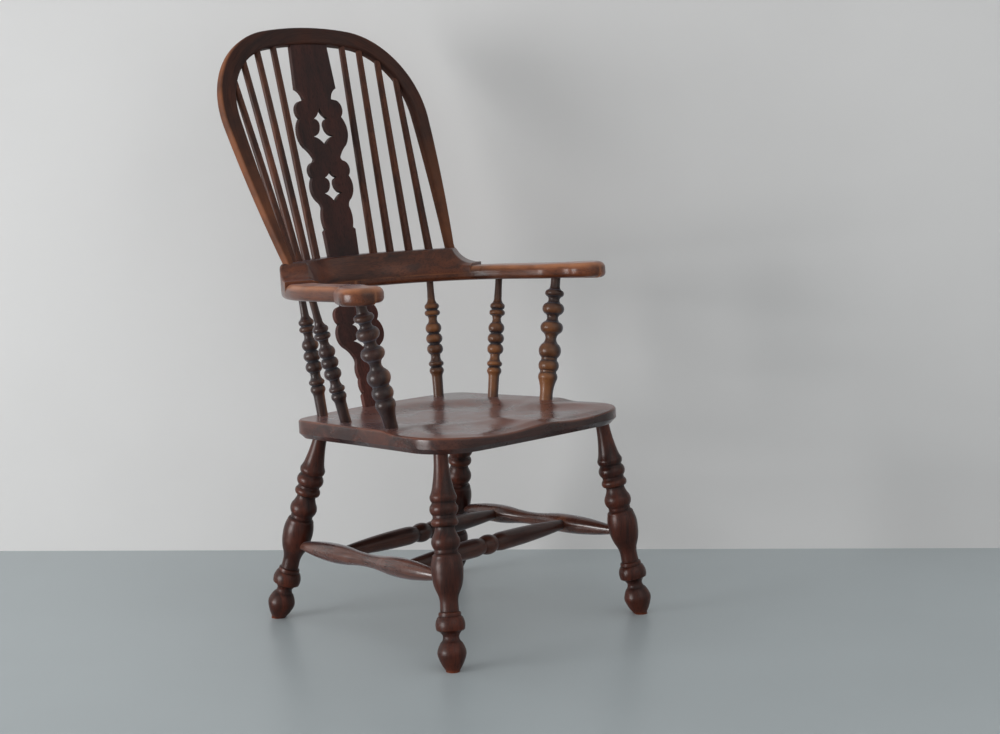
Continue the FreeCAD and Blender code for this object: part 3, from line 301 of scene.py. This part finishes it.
def turning_side(rows):
    """Points up one side of a turning, in metres from the axis and along it."""
    points = []
    for (low, low_width, swell), (high, high_width, _) in zip(rows, rows[1:]):
        across, up = (high_width - low_width) / 2, high - low
        chord = math.hypot(across, up)
        steps = CURVE_STEPS if swell else 1
        for step in range(steps):
            share = step / steps
            bulge = 0
            if swell:
                radius = chord ** 2 / (8 * abs(swell)) + abs(swell) / 2
                place = (share - 0.5) * chord
                rise = math.sqrt(radius ** 2 - place ** 2) - math.sqrt(radius ** 2 - chord ** 2 / 4)
                bulge = math.copysign(rise, swell)
            points.append(((low_width / 2 + across * share + up / chord * bulge) / MILLIMETRES,
                           (low + up * share - across / chord * bulge) / MILLIMETRES))
    points.append((rows[-1][1] / 2 / MILLIMETRES, rows[-1][0] / MILLIMETRES))
    return points


def turned_piece(rows, steps):
    """Closed turning about Z."""
    made = bmesh.new()
    side = turning_side(rows)
    axis_ends = [(0, side[0][1]), (0, side[-1][1])]
    line = [axis_ends[0]] + side + [axis_ends[1]]
    spots = [made.verts.new((reach, 0, height)) for reach, height in line]
    edges = [made.edges.new(pair) for pair in zip(spots, spots[1:])]
    bmesh.ops.spin(made, geom=spots + edges, cent=(0, 0, 0), axis=(0, 0, 1), angle=2 * math.pi, steps=steps,
                   use_merge=True)
    bmesh.ops.remove_doubles(made, verts=made.verts, dist=1e-6)
    bmesh.ops.recalc_face_normals(made, faces=made.faces)
    return made


upright_grain = straight_grain((math.radians(-90), 0, 0))
leg_wood = stained_wood("leg_wood", upright_grain, (0.013, 0.0045, 0.0035), (0.092, 0.0185, 0.0075),
                        (0.22, 0.052, 0.016), gloss=0.33, rub=0.8, coat=0.10, edge_reach=0.016,
                        groove_shade=(0.004, 0.004, 0.0045), groove_reach=0.024)
for end, (foot, top) in LEG_ENDS.items():
    for side, sign in SIDES.items():
        leg = turned_piece(LEG_ROWS, LEG_STEPS)
        mirror = Vector((sign, 1, 1))
        base, head = foot * mirror, seat_place @ (top * mirror)
        lean = (head - base).to_track_quat("Z", "Y").to_matrix().to_4x4()
        bmesh.ops.transform(leg, matrix=Matrix.Translation(base) @ lean, verts=leg.verts)
        parts = list(leg.verts) + list(leg.edges) + list(leg.faces)
        bmesh.ops.bisect_plane(leg, geom=parts, plane_co=(0, 0, 0), plane_no=(0, 0, -1), clear_outer=True)
        bmesh.ops.holes_fill(leg, edges=leg.edges, sides=0)
        new_piece(f"{side}_{end}_turned_leg", leg, leg_wood, f"{side}_{end}_leg")


# Stretchers: long turned swells, driven into the legs on each side, with a ball in the middle of the
# two cross stretchers. Shoes have scuffed them.
def finish_nodes(material, names):
    """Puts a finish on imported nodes."""
    for name in names:
        mesh = nodes[name].data
        mesh.materials.clear()
        mesh.materials.append(material)


side_wood = stained_wood("side_stretcher_wood", straight_grain(), (0.040, 0.014, 0.010),
                         (0.155, 0.052, 0.029), (0.30, 0.12, 0.058), gloss=0.28, rub=0.7, coat=0.9,
                         edge_reach=0.012, haze=0.12)
finish_nodes(side_wood, [f"{side}_side_stretcher" for side in SIDES])
cross_wood = stained_wood("cross_stretcher_wood", cross_grain, (0.024, 0.0075, 0.005),
                          (0.095, 0.027, 0.013), (0.22, 0.075, 0.028), gloss=0.34, rub=0.6, coat=0.25,
                          edge_reach=0.014, groove_reach=0.02, haze=0.08)
finish_nodes(cross_wood, [f"{end}_cross_stretcher" for end in LEG_ENDS])


# Arm supports: slimmer turnings between seat and arm. The sides that face the sitter are painted golden
# brown on every bead, partly as wear and partly as the window light on them, less so close under the arm as
# painted shade, and painted shade keeps the hollows near black.
# Heights over which painted shade under the arm takes away the supports' lighter colour.
ARM_SHADE_LOW, ARM_SHADE_HIGH = 0.57, 0.612


def outward_look(tree, place):
    """How far a face looks away from the middle of the chair, below nought where it looks inwards."""
    side = maths(tree, "SIGN", axis_of(tree, place.outputs["Object"], "X"))
    return product(tree, side, axis_of(tree, place.outputs["Normal"], "X"))


def faces_towards_middle(tree):
    """How far a face looks to the middle of the chair, painted partly as wear and partly as window light,
    held lower close under the arm as painted shade.
    """
    place = add_node(tree, "ShaderNodeTexCoord")
    inward = between(tree, outward_look(tree, place), -0.55, 0.35, 0.9, 0.0)
    height = axis_of(tree, place.outputs["Object"], "Z")
    return product(tree, inward, between(tree, height, ARM_SHADE_LOW, ARM_SHADE_HIGH, 1.0, 0.2))


support_wood = stained_wood("support_wood", upright_grain, (0.015, 0.0075, 0.0065), (0.052, 0.019, 0.0135),
                            (0.26, 0.098, 0.030), gloss=0.38, rub=0.45, worn_and_lit_faces=faces_towards_middle,
                            coat=0.25, edge_reach=0.012, groove_shade=(0.007, 0.0065, 0.007), groove_reach=0.022,
                            haze=0.28)
for side in SIDES:
    finish_nodes(support_wood, [f"{side}_{place}_support" for place in ("front", "middle", "back")])

# Arms: sawn from the plank and butted behind the back, with a glued wing that widens each hand.
# Their edges are rounded over by spokeshave, and hands and elbows have polished the stain away to
# orange brown.
ARM_PLACE = Matrix.Translation((0, 0, 0.6402)) @ Matrix.Rotation(math.radians(-3.5), 4, "X")
ARM_THICKNESS, BOW_INNER, BOW_OUTER, BOW_SPLAY, BOW_STEPS = 0.029, 0.221, 0.288, 4.8, 90
BOW_MIDDLE, HAND_MIDDLE, HAND_RADIUS = Vector((0, -0.022, 0)), Vector((0.296, -0.154, 0)), 0.042
HAND_START, HAND_TIP = Vector((0.2275, -0.090, 0)), Vector((0.2972, -0.19598, 0))
NECK_START_PULL, NECK_END_PULL = Vector((0.0028, -0.024, 0)), Vector((0, 0.024, 0))
WING_BACK, WING_NOTCH, WING_STEP = Vector((0.28864, -0.094, 0)), Vector((0.29506, -0.094, 0)), 0.014
WING_SWELL, WING_NECK = Vector((0.326, -0.1215, 0)), Vector((0.314, -0.106, 0))
WING_DROP, WING_CORNER, ARM_ROUNDS, ARM_GRAIN_LEAN = 0.003, 0.005, (0.0135, 0.0095), 14
FLAT_CORNERS, FLAT_INSET, TOUCHING, GLUE_WIDTH = 30, 0.0008, 1e-5, 2e-4


def swept_points(middle, reach, first, last, steps):
    """Points on an arc, from one angle in degrees to another."""
    angles = [math.radians(first + (last - first) * step / steps) for step in range(steps + 1)]
    return [middle + Vector((math.cos(angle), math.sin(angle), 0)) * reach for angle in angles]


def round_over(made, parts, amount, steps, kind="EDGES"):
    """Rounds edges or corners of a bmesh."""
    bmesh.ops.bevel(made, geom=parts, offset=amount, offset_type="OFFSET", segments=steps, profile=0.5,
                    affect=kind, material=-1)


def sawn_board(outline, low, high, rounds, is_joint, corner_round=None):
    """Board sawn to an outline, with every edge rounded over but those on a joint."""
    board = bmesh.new()
    face = board.faces.new([board.verts.new(spot + Vector((0, 0, low))) for spot in outline])
    raised = bmesh.ops.extrude_face_region(board, geom=[face])["geom"]
    raised = [part for part in raised if isinstance(part, bmesh.types.BMVert)]
    bmesh.ops.translate(board, vec=(0, 0, high - low), verts=raised)
    if corner_round:
        spot, amount = corner_round
        upright = [edge for edge in board.edges
                   if all((vertex.co.xy - spot.xy).length < TOUCHING for vertex in edge.verts)]
        round_over(board, upright, amount, 4)
    for level, amount in zip((high, low), rounds):
        rim = [edge for edge in board.edges if all(abs(vertex.co.z - level) < 1e-6 for vertex in edge.verts)
               and not is_joint((edge.verts[0].co + edge.verts[1].co) / 2)]
        round_over(board, rim, amount, 6)
    flats = [face for face in board.faces if len(face.verts) > FLAT_CORNERS]
    bmesh.ops.inset_individual(board, faces=flats, thickness=FLAT_INSET)
    return board


def arm_joint(spot):
    """Tests for the butt joint, the glue line and the notch that the wing fills."""
    splay = math.radians(BOW_SPLAY)
    along_glue = (spot - WING_BACK).dot(Vector((math.cos(splay), math.sin(splay), 0)))
    on_butt = spot.x < TOUCHING
    on_glue = spot.y < WING_BACK.y + TOUCHING and abs(along_glue) < GLUE_WIDTH
    on_notch = abs(spot.y - WING_BACK.y) < TOUCHING and WING_BACK.x < spot.x < WING_NOTCH.x
    return on_butt or on_glue or on_notch


outer_bow = swept_points(BOW_MIDDLE, BOW_OUTER, BOW_SPLAY, 90, BOW_STEPS)
inner_bow = swept_points(BOW_MIDDLE, BOW_INNER, 90, BOW_SPLAY, BOW_STEPS)
neck_end = HAND_MIDDLE - Vector((HAND_RADIUS, 0, 0))
hand_neck = interpolate_bezier(HAND_START, HAND_START + NECK_START_PULL, neck_end + NECK_END_PULL,
                               neck_end, 16)
hand_round = swept_points(HAND_MIDDLE, HAND_RADIUS, 180, 271.6, 24)
arm_outline = [HAND_TIP, WING_BACK, WING_NOTCH] + outer_bow + inner_bow + hand_neck[:-1] + hand_round[:-1]
wing_end = WING_NOTCH + Vector((WING_STEP, 0, 0))
wing_outline = [WING_BACK, HAND_TIP] + swept_points(HAND_MIDDLE, HAND_RADIUS, -87, 35, 30)
wing_outline += interpolate_bezier(wing_outline[-1], WING_SWELL, WING_NECK, wing_end, 9)[1:]
for side, sign in SIDES.items():
    arm_wood = stained_wood(f"{side}_arm_wood", straight_grain((0, 0, math.radians(-ARM_GRAIN_LEAN * sign))),
                            (0.070, 0.022, 0.010), (0.21, 0.062, 0.021), (0.50, 0.20, 0.085), gloss=0.3,
                            rub=0.7, worn_and_lit_faces=upward_faces, coat=0.3, haze=0.10)
    arm = sawn_board(arm_outline, 0, ARM_THICKNESS, ARM_ROUNDS, arm_joint)
    wing = sawn_board(wing_outline, -WING_DROP, ARM_THICKNESS, ARM_ROUNDS, arm_joint,
                      (wing_end, WING_CORNER))
    for made, name, node in ((arm, "sawn_arm", "arm"), (wing, "hand_wing", "hand_wing")):
        bmesh.ops.transform(made, matrix=ARM_PLACE @ Matrix.Scale(sign, 4, (1, 0, 0)), verts=made.verts)
        bmesh.ops.recalc_face_normals(made, faces=made.faces)
        new_piece(f"{side}_rounded_{name}", made, arm_wood, f"{side}_{node}")

# Crest rail: a thick bowed block, sawn out and doweled down over the joint of the arms. Its front
# leans back a little, and a hollow ramp runs down to the arm at each end.
CREST_END, CREST_STEPS, CREST_FOOT, CREST_TOP, CREST_SCRIBE = 64.7, 216, 0.030, 0.066, 0.0145
CREST_FOOT_INNER, CREST_TOP_INNER, CREST_OUTER = 0.2209, 0.2365, 0.2882
CREST_ROUNDS = (1, 0.012), (2, 0.005), (3, 0.009)
RAMP_RADIUS, RAMP_MIDDLE, RAMP_BLEND = 0.048, 0.0825, 0.006
crest_wood = stained_wood("crest_wood", cross_grain, (0.036, 0.012, 0.007), (0.175, 0.049, 0.017),
                          (0.36, 0.13, 0.044), gloss=0.33, rub=0.7, coat=0.25, edge_reach=0.004, haze=0.06)
crest = bmesh.new()
crest_corners = ((CREST_FOOT_INNER, CREST_SCRIBE), (CREST_FOOT_INNER, CREST_FOOT),
                 (CREST_TOP_INNER, CREST_TOP), (CREST_OUTER, CREST_TOP), (CREST_OUTER, CREST_SCRIBE))
crest_end = [crest.verts.new((reach, BOW_MIDDLE.y, height)) for reach, height in crest_corners]
crest.faces.new(crest_end)
for corner, amount in CREST_ROUNDS:
    round_over(crest, [crest_end[corner]], amount, 5, "VERTICES")
crest_parts = list(crest.verts) + list(crest.edges) + list(crest.faces)
bmesh.ops.rotate(crest, verts=crest.verts, cent=BOW_MIDDLE,
                 matrix=Matrix.Rotation(math.radians(90 - CREST_END), 3, "Z"))
bmesh.ops.spin(crest, geom=crest_parts, cent=BOW_MIDDLE, axis=(0, 0, 1), angle=math.radians(2 * CREST_END),
               steps=CREST_STEPS)
for vertex in crest.verts:
    lean = abs(math.atan2(vertex.co.x, vertex.co.y - BOW_MIDDLE.y))
    run = max(math.radians(CREST_END) - lean, 0) * (BOW_INNER + BOW_OUTER) / 2
    ramp = RAMP_MIDDLE - math.sqrt(max(RAMP_RADIUS ** 2 - run ** 2, 0))
    blend = min(max(0.5 + 0.5 * (ramp - CREST_TOP) / RAMP_BLEND, 0), 1)
    height = ramp + (CREST_TOP - ramp) * blend - RAMP_BLEND * blend * (1 - blend)
    if vertex.co.z > CREST_FOOT:
        above_foot = (vertex.co.z - CREST_FOOT) * (height - CREST_FOOT) / (CREST_TOP - CREST_FOOT)
        vertex.co.z = CREST_FOOT + above_foot
bmesh.ops.transform(crest, matrix=ARM_PLACE, verts=crest.verts)
bmesh.ops.recalc_face_normals(crest, faces=crest.faces)
new_piece("ramped_crest_rail", crest, crest_wood, "crest_rail")
bare_wood = stained_wood("bare_dowel_wood", upright_grain, (0.30, 0.19, 0.10), (0.50, 0.34, 0.20),
                         (0.55, 0.38, 0.22), gloss=0.55, coat=0.0)
finish_nodes(bare_wood, ["crest_dowels"])

# Hoop: one stick of ash, steamed and bent in a sloping plane, so its grain runs round with it.
# The outer face is painted orange brown, partly as wear and partly as the window light on it, and the front
# keeps its dark stain.
HOOP_RAKE = math.radians(23.7)
HOOP_ORIGIN = ARM_PLACE @ Vector((0, 0.1445, CREST_TOP))
HOOP_PLACE = Matrix.Translation(HOOP_ORIGIN) @ Matrix.Rotation(math.radians(90) - HOOP_RAKE, 4, "X")
CROWN_MIDDLE, CROWN_RADIUS, CROWN_TURN = Vector((0, -0.2452, 0)), 0.736, 81.5
SHOULDER_MIDDLE, SHOULDER_RADIUS = Vector((0.0818, 0.3022, 0)), 0.1825
HOOP_WIDTH, HOOP_DEPTH, HOOP_ROUND, HOOP_TENON = 0.036, 0.019, 0.0048, -0.024
HOOP_OUTER_FOOT, HOOP_OUTER_LEAN, HOOP_OUTER_SWELL = Vector((0.2223, 0.004, 0)), 5.4, 0.00364
HOOP_INNER_FOOT, HOOP_INNER_LEAN, HOOP_INNER_SWELL = Vector((0.2073, 0.004, 0)), 2.0, 0.00267
HOOP_SHOULDER, HOOP_SQUASH, HOOP_TURN_RADIUS = 0.290, 0.78, 0.23
HOOP_LEG_STEPS, HOOP_SHOULDER_STEPS, HOOP_CROWN_STEPS = 24, 40, 12
HOOP_RUBBED_BELOW, HOOP_DARK_ABOVE = 0.74, 1.04


def bent_grain(tree):
    """Space whose Y runs up the hoop's legs and round its crown."""
    to_plane = Matrix.Rotation(HOOP_RAKE - math.radians(90), 4, "X")
    shift = -(to_plane.to_3x3() @ HOOP_ORIGIN)
    place = add_node(tree, "ShaderNodeTexCoord").outputs["Object"]
    flat = add_node(tree, "ShaderNodeMapping", {"Vector": place, "Location": shift,
                                                "Rotation": (HOOP_RAKE - math.radians(90), 0, 0)})
    parts = add_node(tree, "ShaderNodeSeparateXYZ", {"Vector": flat.outputs["Vector"]}).outputs
    across = product(tree, parts["X"], HOOP_SQUASH)
    above = maths(tree, "MAXIMUM", maths(tree, "SUBTRACT", parts["Y"], HOOP_SHOULDER), 0.0)
    below = maths(tree, "MAXIMUM", maths(tree, "SUBTRACT", HOOP_SHOULDER, parts["Y"]), 0.0)
    squares = maths(tree, "ADD", product(tree, across, across), product(tree, above, above))
    swept = product(tree, maths(tree, "ARCTAN2", across, above), HOOP_TURN_RADIUS)
    run = maths(tree, "ADD", swept, product(tree, maths(tree, "SIGN", across), below))
    joined = add_node(tree, "ShaderNodeCombineXYZ", {"X": maths(tree, "SQRT", squares), "Y": run,
                                                     "Z": parts["Z"]})
    return joined.outputs["Vector"]


def outer_and_lower_faces(tree):
    """The hoop's outer side faces, painted lighter partly as wear and partly as window light, and both its
    legs the more the lower they are.
    """
    place = add_node(tree, "ShaderNodeTexCoord")
    outer = between(tree, outward_look(tree, place), 0.1, 0.8, 0.0, 0.8)
    height = axis_of(tree, place.outputs["Object"], "Z")
    return maths(tree, "MAXIMUM", outer, between(tree, height, HOOP_RUBBED_BELOW, HOOP_DARK_ABOVE, 0.5, 0.0))


def hoop_edge(inset, foot, lean, swell):
    """Points up the left half of one edge of the hoop, by leg, shoulder and crown."""
    shoulder = swept_points(SHOULDER_MIDDLE, SHOULDER_RADIUS - inset, -lean, CROWN_TURN, HOOP_SHOULDER_STEPS)
    crown = swept_points(CROWN_MIDDLE, CROWN_RADIUS - inset, CROWN_TURN, 90, HOOP_CROWN_STEPS)
    rise = shoulder[0] - foot
    radius = rise.length ** 2 / (8 * swell) + swell / 2
    sideways = Vector((rise.y, -rise.x, 0)).normalized()
    leg = [Vector((foot.x, HOOP_TENON, 0))]
    for step in range(HOOP_LEG_STEPS):
        share = step / HOOP_LEG_STEPS
        along = rise.length * (share - 0.5)
        bulge = math.sqrt(radius ** 2 - along ** 2) - (radius - swell)
        leg.append(foot + rise * share + sideways * bulge)
    return leg + shoulder + crown[1:]


outer_half = hoop_edge(0, HOOP_OUTER_FOOT, HOOP_OUTER_LEAN, HOOP_OUTER_SWELL)
inner_half = hoop_edge(HOOP_WIDTH, HOOP_INNER_FOOT, HOOP_INNER_LEAN, HOOP_INNER_SWELL)
mirrored = Matrix.Scale(-1, 3, (1, 0, 0))
hoop_outline = outer_half + [mirrored @ spot for spot in reversed(outer_half[:-1])]
hoop_outline += [mirrored @ spot for spot in inner_half] + list(reversed(inner_half[:-1]))
hoop = sawn_board(hoop_outline, -HOOP_DEPTH / 2, HOOP_DEPTH / 2, (HOOP_ROUND, HOOP_ROUND),
                  lambda spot: spot.y < HOOP_TENON / 2)
bmesh.ops.transform(hoop, matrix=HOOP_PLACE, verts=hoop.verts)
bmesh.ops.recalc_face_normals(hoop, faces=hoop.faces)
hoop_wood = stained_wood("hoop_wood", bent_grain, (0.028, 0.010, 0.007), (0.088, 0.027, 0.014),
                         (0.24, 0.082, 0.032), gloss=0.58, rub=0.7, worn_and_lit_faces=outer_and_lower_faces,
                         coat=0.0, edge_reach=0.004)
new_piece("bent_hoop", hoop, hoop_wood, "hoop")

# Sticks: eight tapering sticks, shaved by hand from split ash and socketed into crest rail and hoop.
# Their round fronts are rubbed brown.
stick_wood = stained_wood("stick_wood", upright_grain, (0.040, 0.014, 0.0095), (0.14, 0.046, 0.022),
                          (0.24, 0.09, 0.036), gloss=0.50, rub=0.3, coat=0.05)
for side in SIDES:
    finish_nodes(stick_wood, [f"{side}_stick_{number}" for number in (1, 2, 3, 4)])

# Splats: thin boards fretted with a fine saw, housed between hoop and crest and between arms and seat.
# Their broad faces keep the darkest stain of the chair, and the lower one is stained a little lighter.
for name, brown in (("upper_splat", 1.0), ("lower_splat", 1.9)):
    splat_wood = stained_wood(f"{name}_wood", upright_grain, (0.022 * brown, 0.0072 * brown, 0.006 * brown),
                              (0.060 * brown, 0.016 * brown, 0.0115 * brown), (0.17, 0.06, 0.03), gloss=0.44,
                              rub=0.35, coat=0.08, edge_reach=0.003)
    finish_nodes(splat_wood, [name])

# Camera: it stands where the photograph was taken from, a little above the arms, and looks slightly
# down at the chair's right front corner. Its focal length is given in pixels of the photograph.
PICTURE_WIDTH, PICTURE_HEIGHT, SENSOR_WIDTH, FOCAL_PIXELS = 1000, 734, 36.0, 1955.5
CAMERA_PLACE = Vector((-2.5787, -2.7646, 1.0426))
CAMERA_TURN, CAMERA_TILT, CAMERA_ROLL = math.radians(-45.226), math.radians(8.405), math.radians(-0.831)
camera_turn = (Matrix.Rotation(CAMERA_TURN, 3, "Z") @ Matrix.Rotation(math.radians(90) - CAMERA_TILT, 3, "X")
               @ Matrix.Rotation(CAMERA_ROLL, 3, "Z"))
camera_data = bpy.data.cameras.new("camera")
camera_data.sensor_width = SENSOR_WIDTH
camera_data.lens = FOCAL_PIXELS / PICTURE_WIDTH * SENSOR_WIDTH
camera_data.clip_end = 50
camera = bpy.data.objects.new("camera", camera_data)
camera.matrix_world = Matrix.Translation(CAMERA_PLACE) @ camera_turn.to_4x4()
bpy.context.scene.collection.objects.link(camera)
bpy.context.scene.camera = camera

# Studio: a plain painted floor and a pale backdrop close behind the chair, both flat sheets. They meet
# on a line that is given by the places where it crosses the left and right edges of the picture.
WALL_LINE_LEFT, WALL_LINE_RIGHT = (0, 551), (1000, 548)
STAGE_REACH, WALL_HEIGHT, PAINT_CLOUDS, PAINT_LIFT = 9.0, 6.0, 1.6, 1.05


def floor_under(pixel):
    """Place on the floor that the camera sees at a pixel of the photograph."""
    across, up = pixel[0] - PICTURE_WIDTH / 2, PICTURE_HEIGHT / 2 - pixel[1]
    sight = camera_turn @ Vector((across, up, -FOCAL_PIXELS))
    return CAMERA_PLACE - sight * (CAMERA_PLACE.z / sight.z)


def stage_sheet(name, corners, material):
    """Flat backdrop that isn't part of the chair."""
    sheet = bmesh.new()
    sheet.faces.new([sheet.verts.new(corner) for corner in corners])
    mesh = bpy.data.meshes.new(name)
    sheet.to_mesh(mesh)
    sheet.free()
    mesh.materials.append(material)
    thing = bpy.data.objects.new(name, mesh)
    bpy.context.scene.collection.objects.link(thing)


def stage_paint(name, colour, roughness, gloss):
    """Plain paint with a faint cloudiness."""
    material = bpy.data.materials.new(name)
    material.use_nodes = True
    tree = material.node_tree
    shader = tree.nodes["Principled BSDF"]
    place = add_node(tree, "ShaderNodeTexCoord").outputs["Object"]
    clouds = noise(tree, place, PAINT_CLOUDS, 3.0)
    lighter = tuple(part * PAINT_LIFT for part in colour)
    tree.links.new(two_tone(tree, clouds, 0.35, colour, 0.65, lighter), shader.inputs["Base Color"])
    shader.inputs["Roughness"].default_value = roughness
    shader.inputs["Specular IOR Level"].default_value = gloss
    return material


wall_start, wall_end = floor_under(WALL_LINE_LEFT), floor_under(WALL_LINE_RIGHT)
along_wall = (wall_end - wall_start).normalized()
from_wall = Vector((along_wall.y, -along_wall.x, 0))
wall_left, wall_right = wall_start - along_wall * STAGE_REACH, wall_end + along_wall * STAGE_REACH
floor_paint = stage_paint("floor_paint", (0.425, 0.476, 0.494), 0.34, 0.45)
wall_paint = stage_paint("wall_paint", (0.70, 0.695, 0.69), 0.9, 0.2)
stage_sheet("floor", [wall_left, wall_left + from_wall * STAGE_REACH, wall_right + from_wall * STAGE_REACH,
                      wall_right], floor_paint)
wall_up = Vector((0, 0, WALL_HEIGHT))
stage_sheet("wall", [wall_left, wall_right, wall_right + wall_up, wall_left + wall_up], wall_paint)

# Light: a broad window of plain daylight beyond the left edge of the picture, and a weak fill from the
# room. Each lamp's place is given along the wall, out from it and above the floor.
WINDOW_PLACE, WINDOW_SIZE, WINDOW_POWER = (-5.4, 3.3, 1.0), (3.2, 2.2), 255
ROOM_PLACE, ROOM_SIZE, ROOM_POWER = (2.4, 3.0, 2.6), (3.0, 2.4), 10
WINDOW_COLOUR, ROOM_COLOUR = (1.0, 0.995, 0.99), (1.0, 0.99, 0.97)
LIT_SPOT, DAYLIGHT, DAYLIGHT_LEVEL = Vector((0, 0, 0.5)), (0.99, 0.995, 1.0, 1), 0.575


def soft_lamp(name, place, size, power, colour):
    """Rectangular lamp that shines at the chair's seat."""
    data = bpy.data.lights.new(name, "AREA")
    data.shape = "RECTANGLE"
    data.size, data.size_y = size
    data.energy = power
    data.color = colour
    lamp = bpy.data.objects.new(name, data)
    spot = along_wall * place[0] + from_wall * place[1] + Vector((0, 0, place[2]))
    facing = (spot - LIT_SPOT).to_track_quat("Z", "Y").to_matrix().to_4x4()
    lamp.matrix_world = Matrix.Translation(spot) @ facing
    bpy.context.scene.collection.objects.link(lamp)


soft_lamp("window_lamp", WINDOW_PLACE, WINDOW_SIZE, WINDOW_POWER, WINDOW_COLOUR)
soft_lamp("room_lamp", ROOM_PLACE, ROOM_SIZE, ROOM_POWER, ROOM_COLOUR)
world = bpy.data.worlds.new("world")
world.use_nodes = True
world.node_tree.nodes["Background"].inputs["Color"].default_value = DAYLIGHT
world.node_tree.nodes["Background"].inputs["Strength"].default_value = DAYLIGHT_LEVEL
bpy.context.scene.world = world
bpy.context.scene.view_settings.view_transform = "Standard"
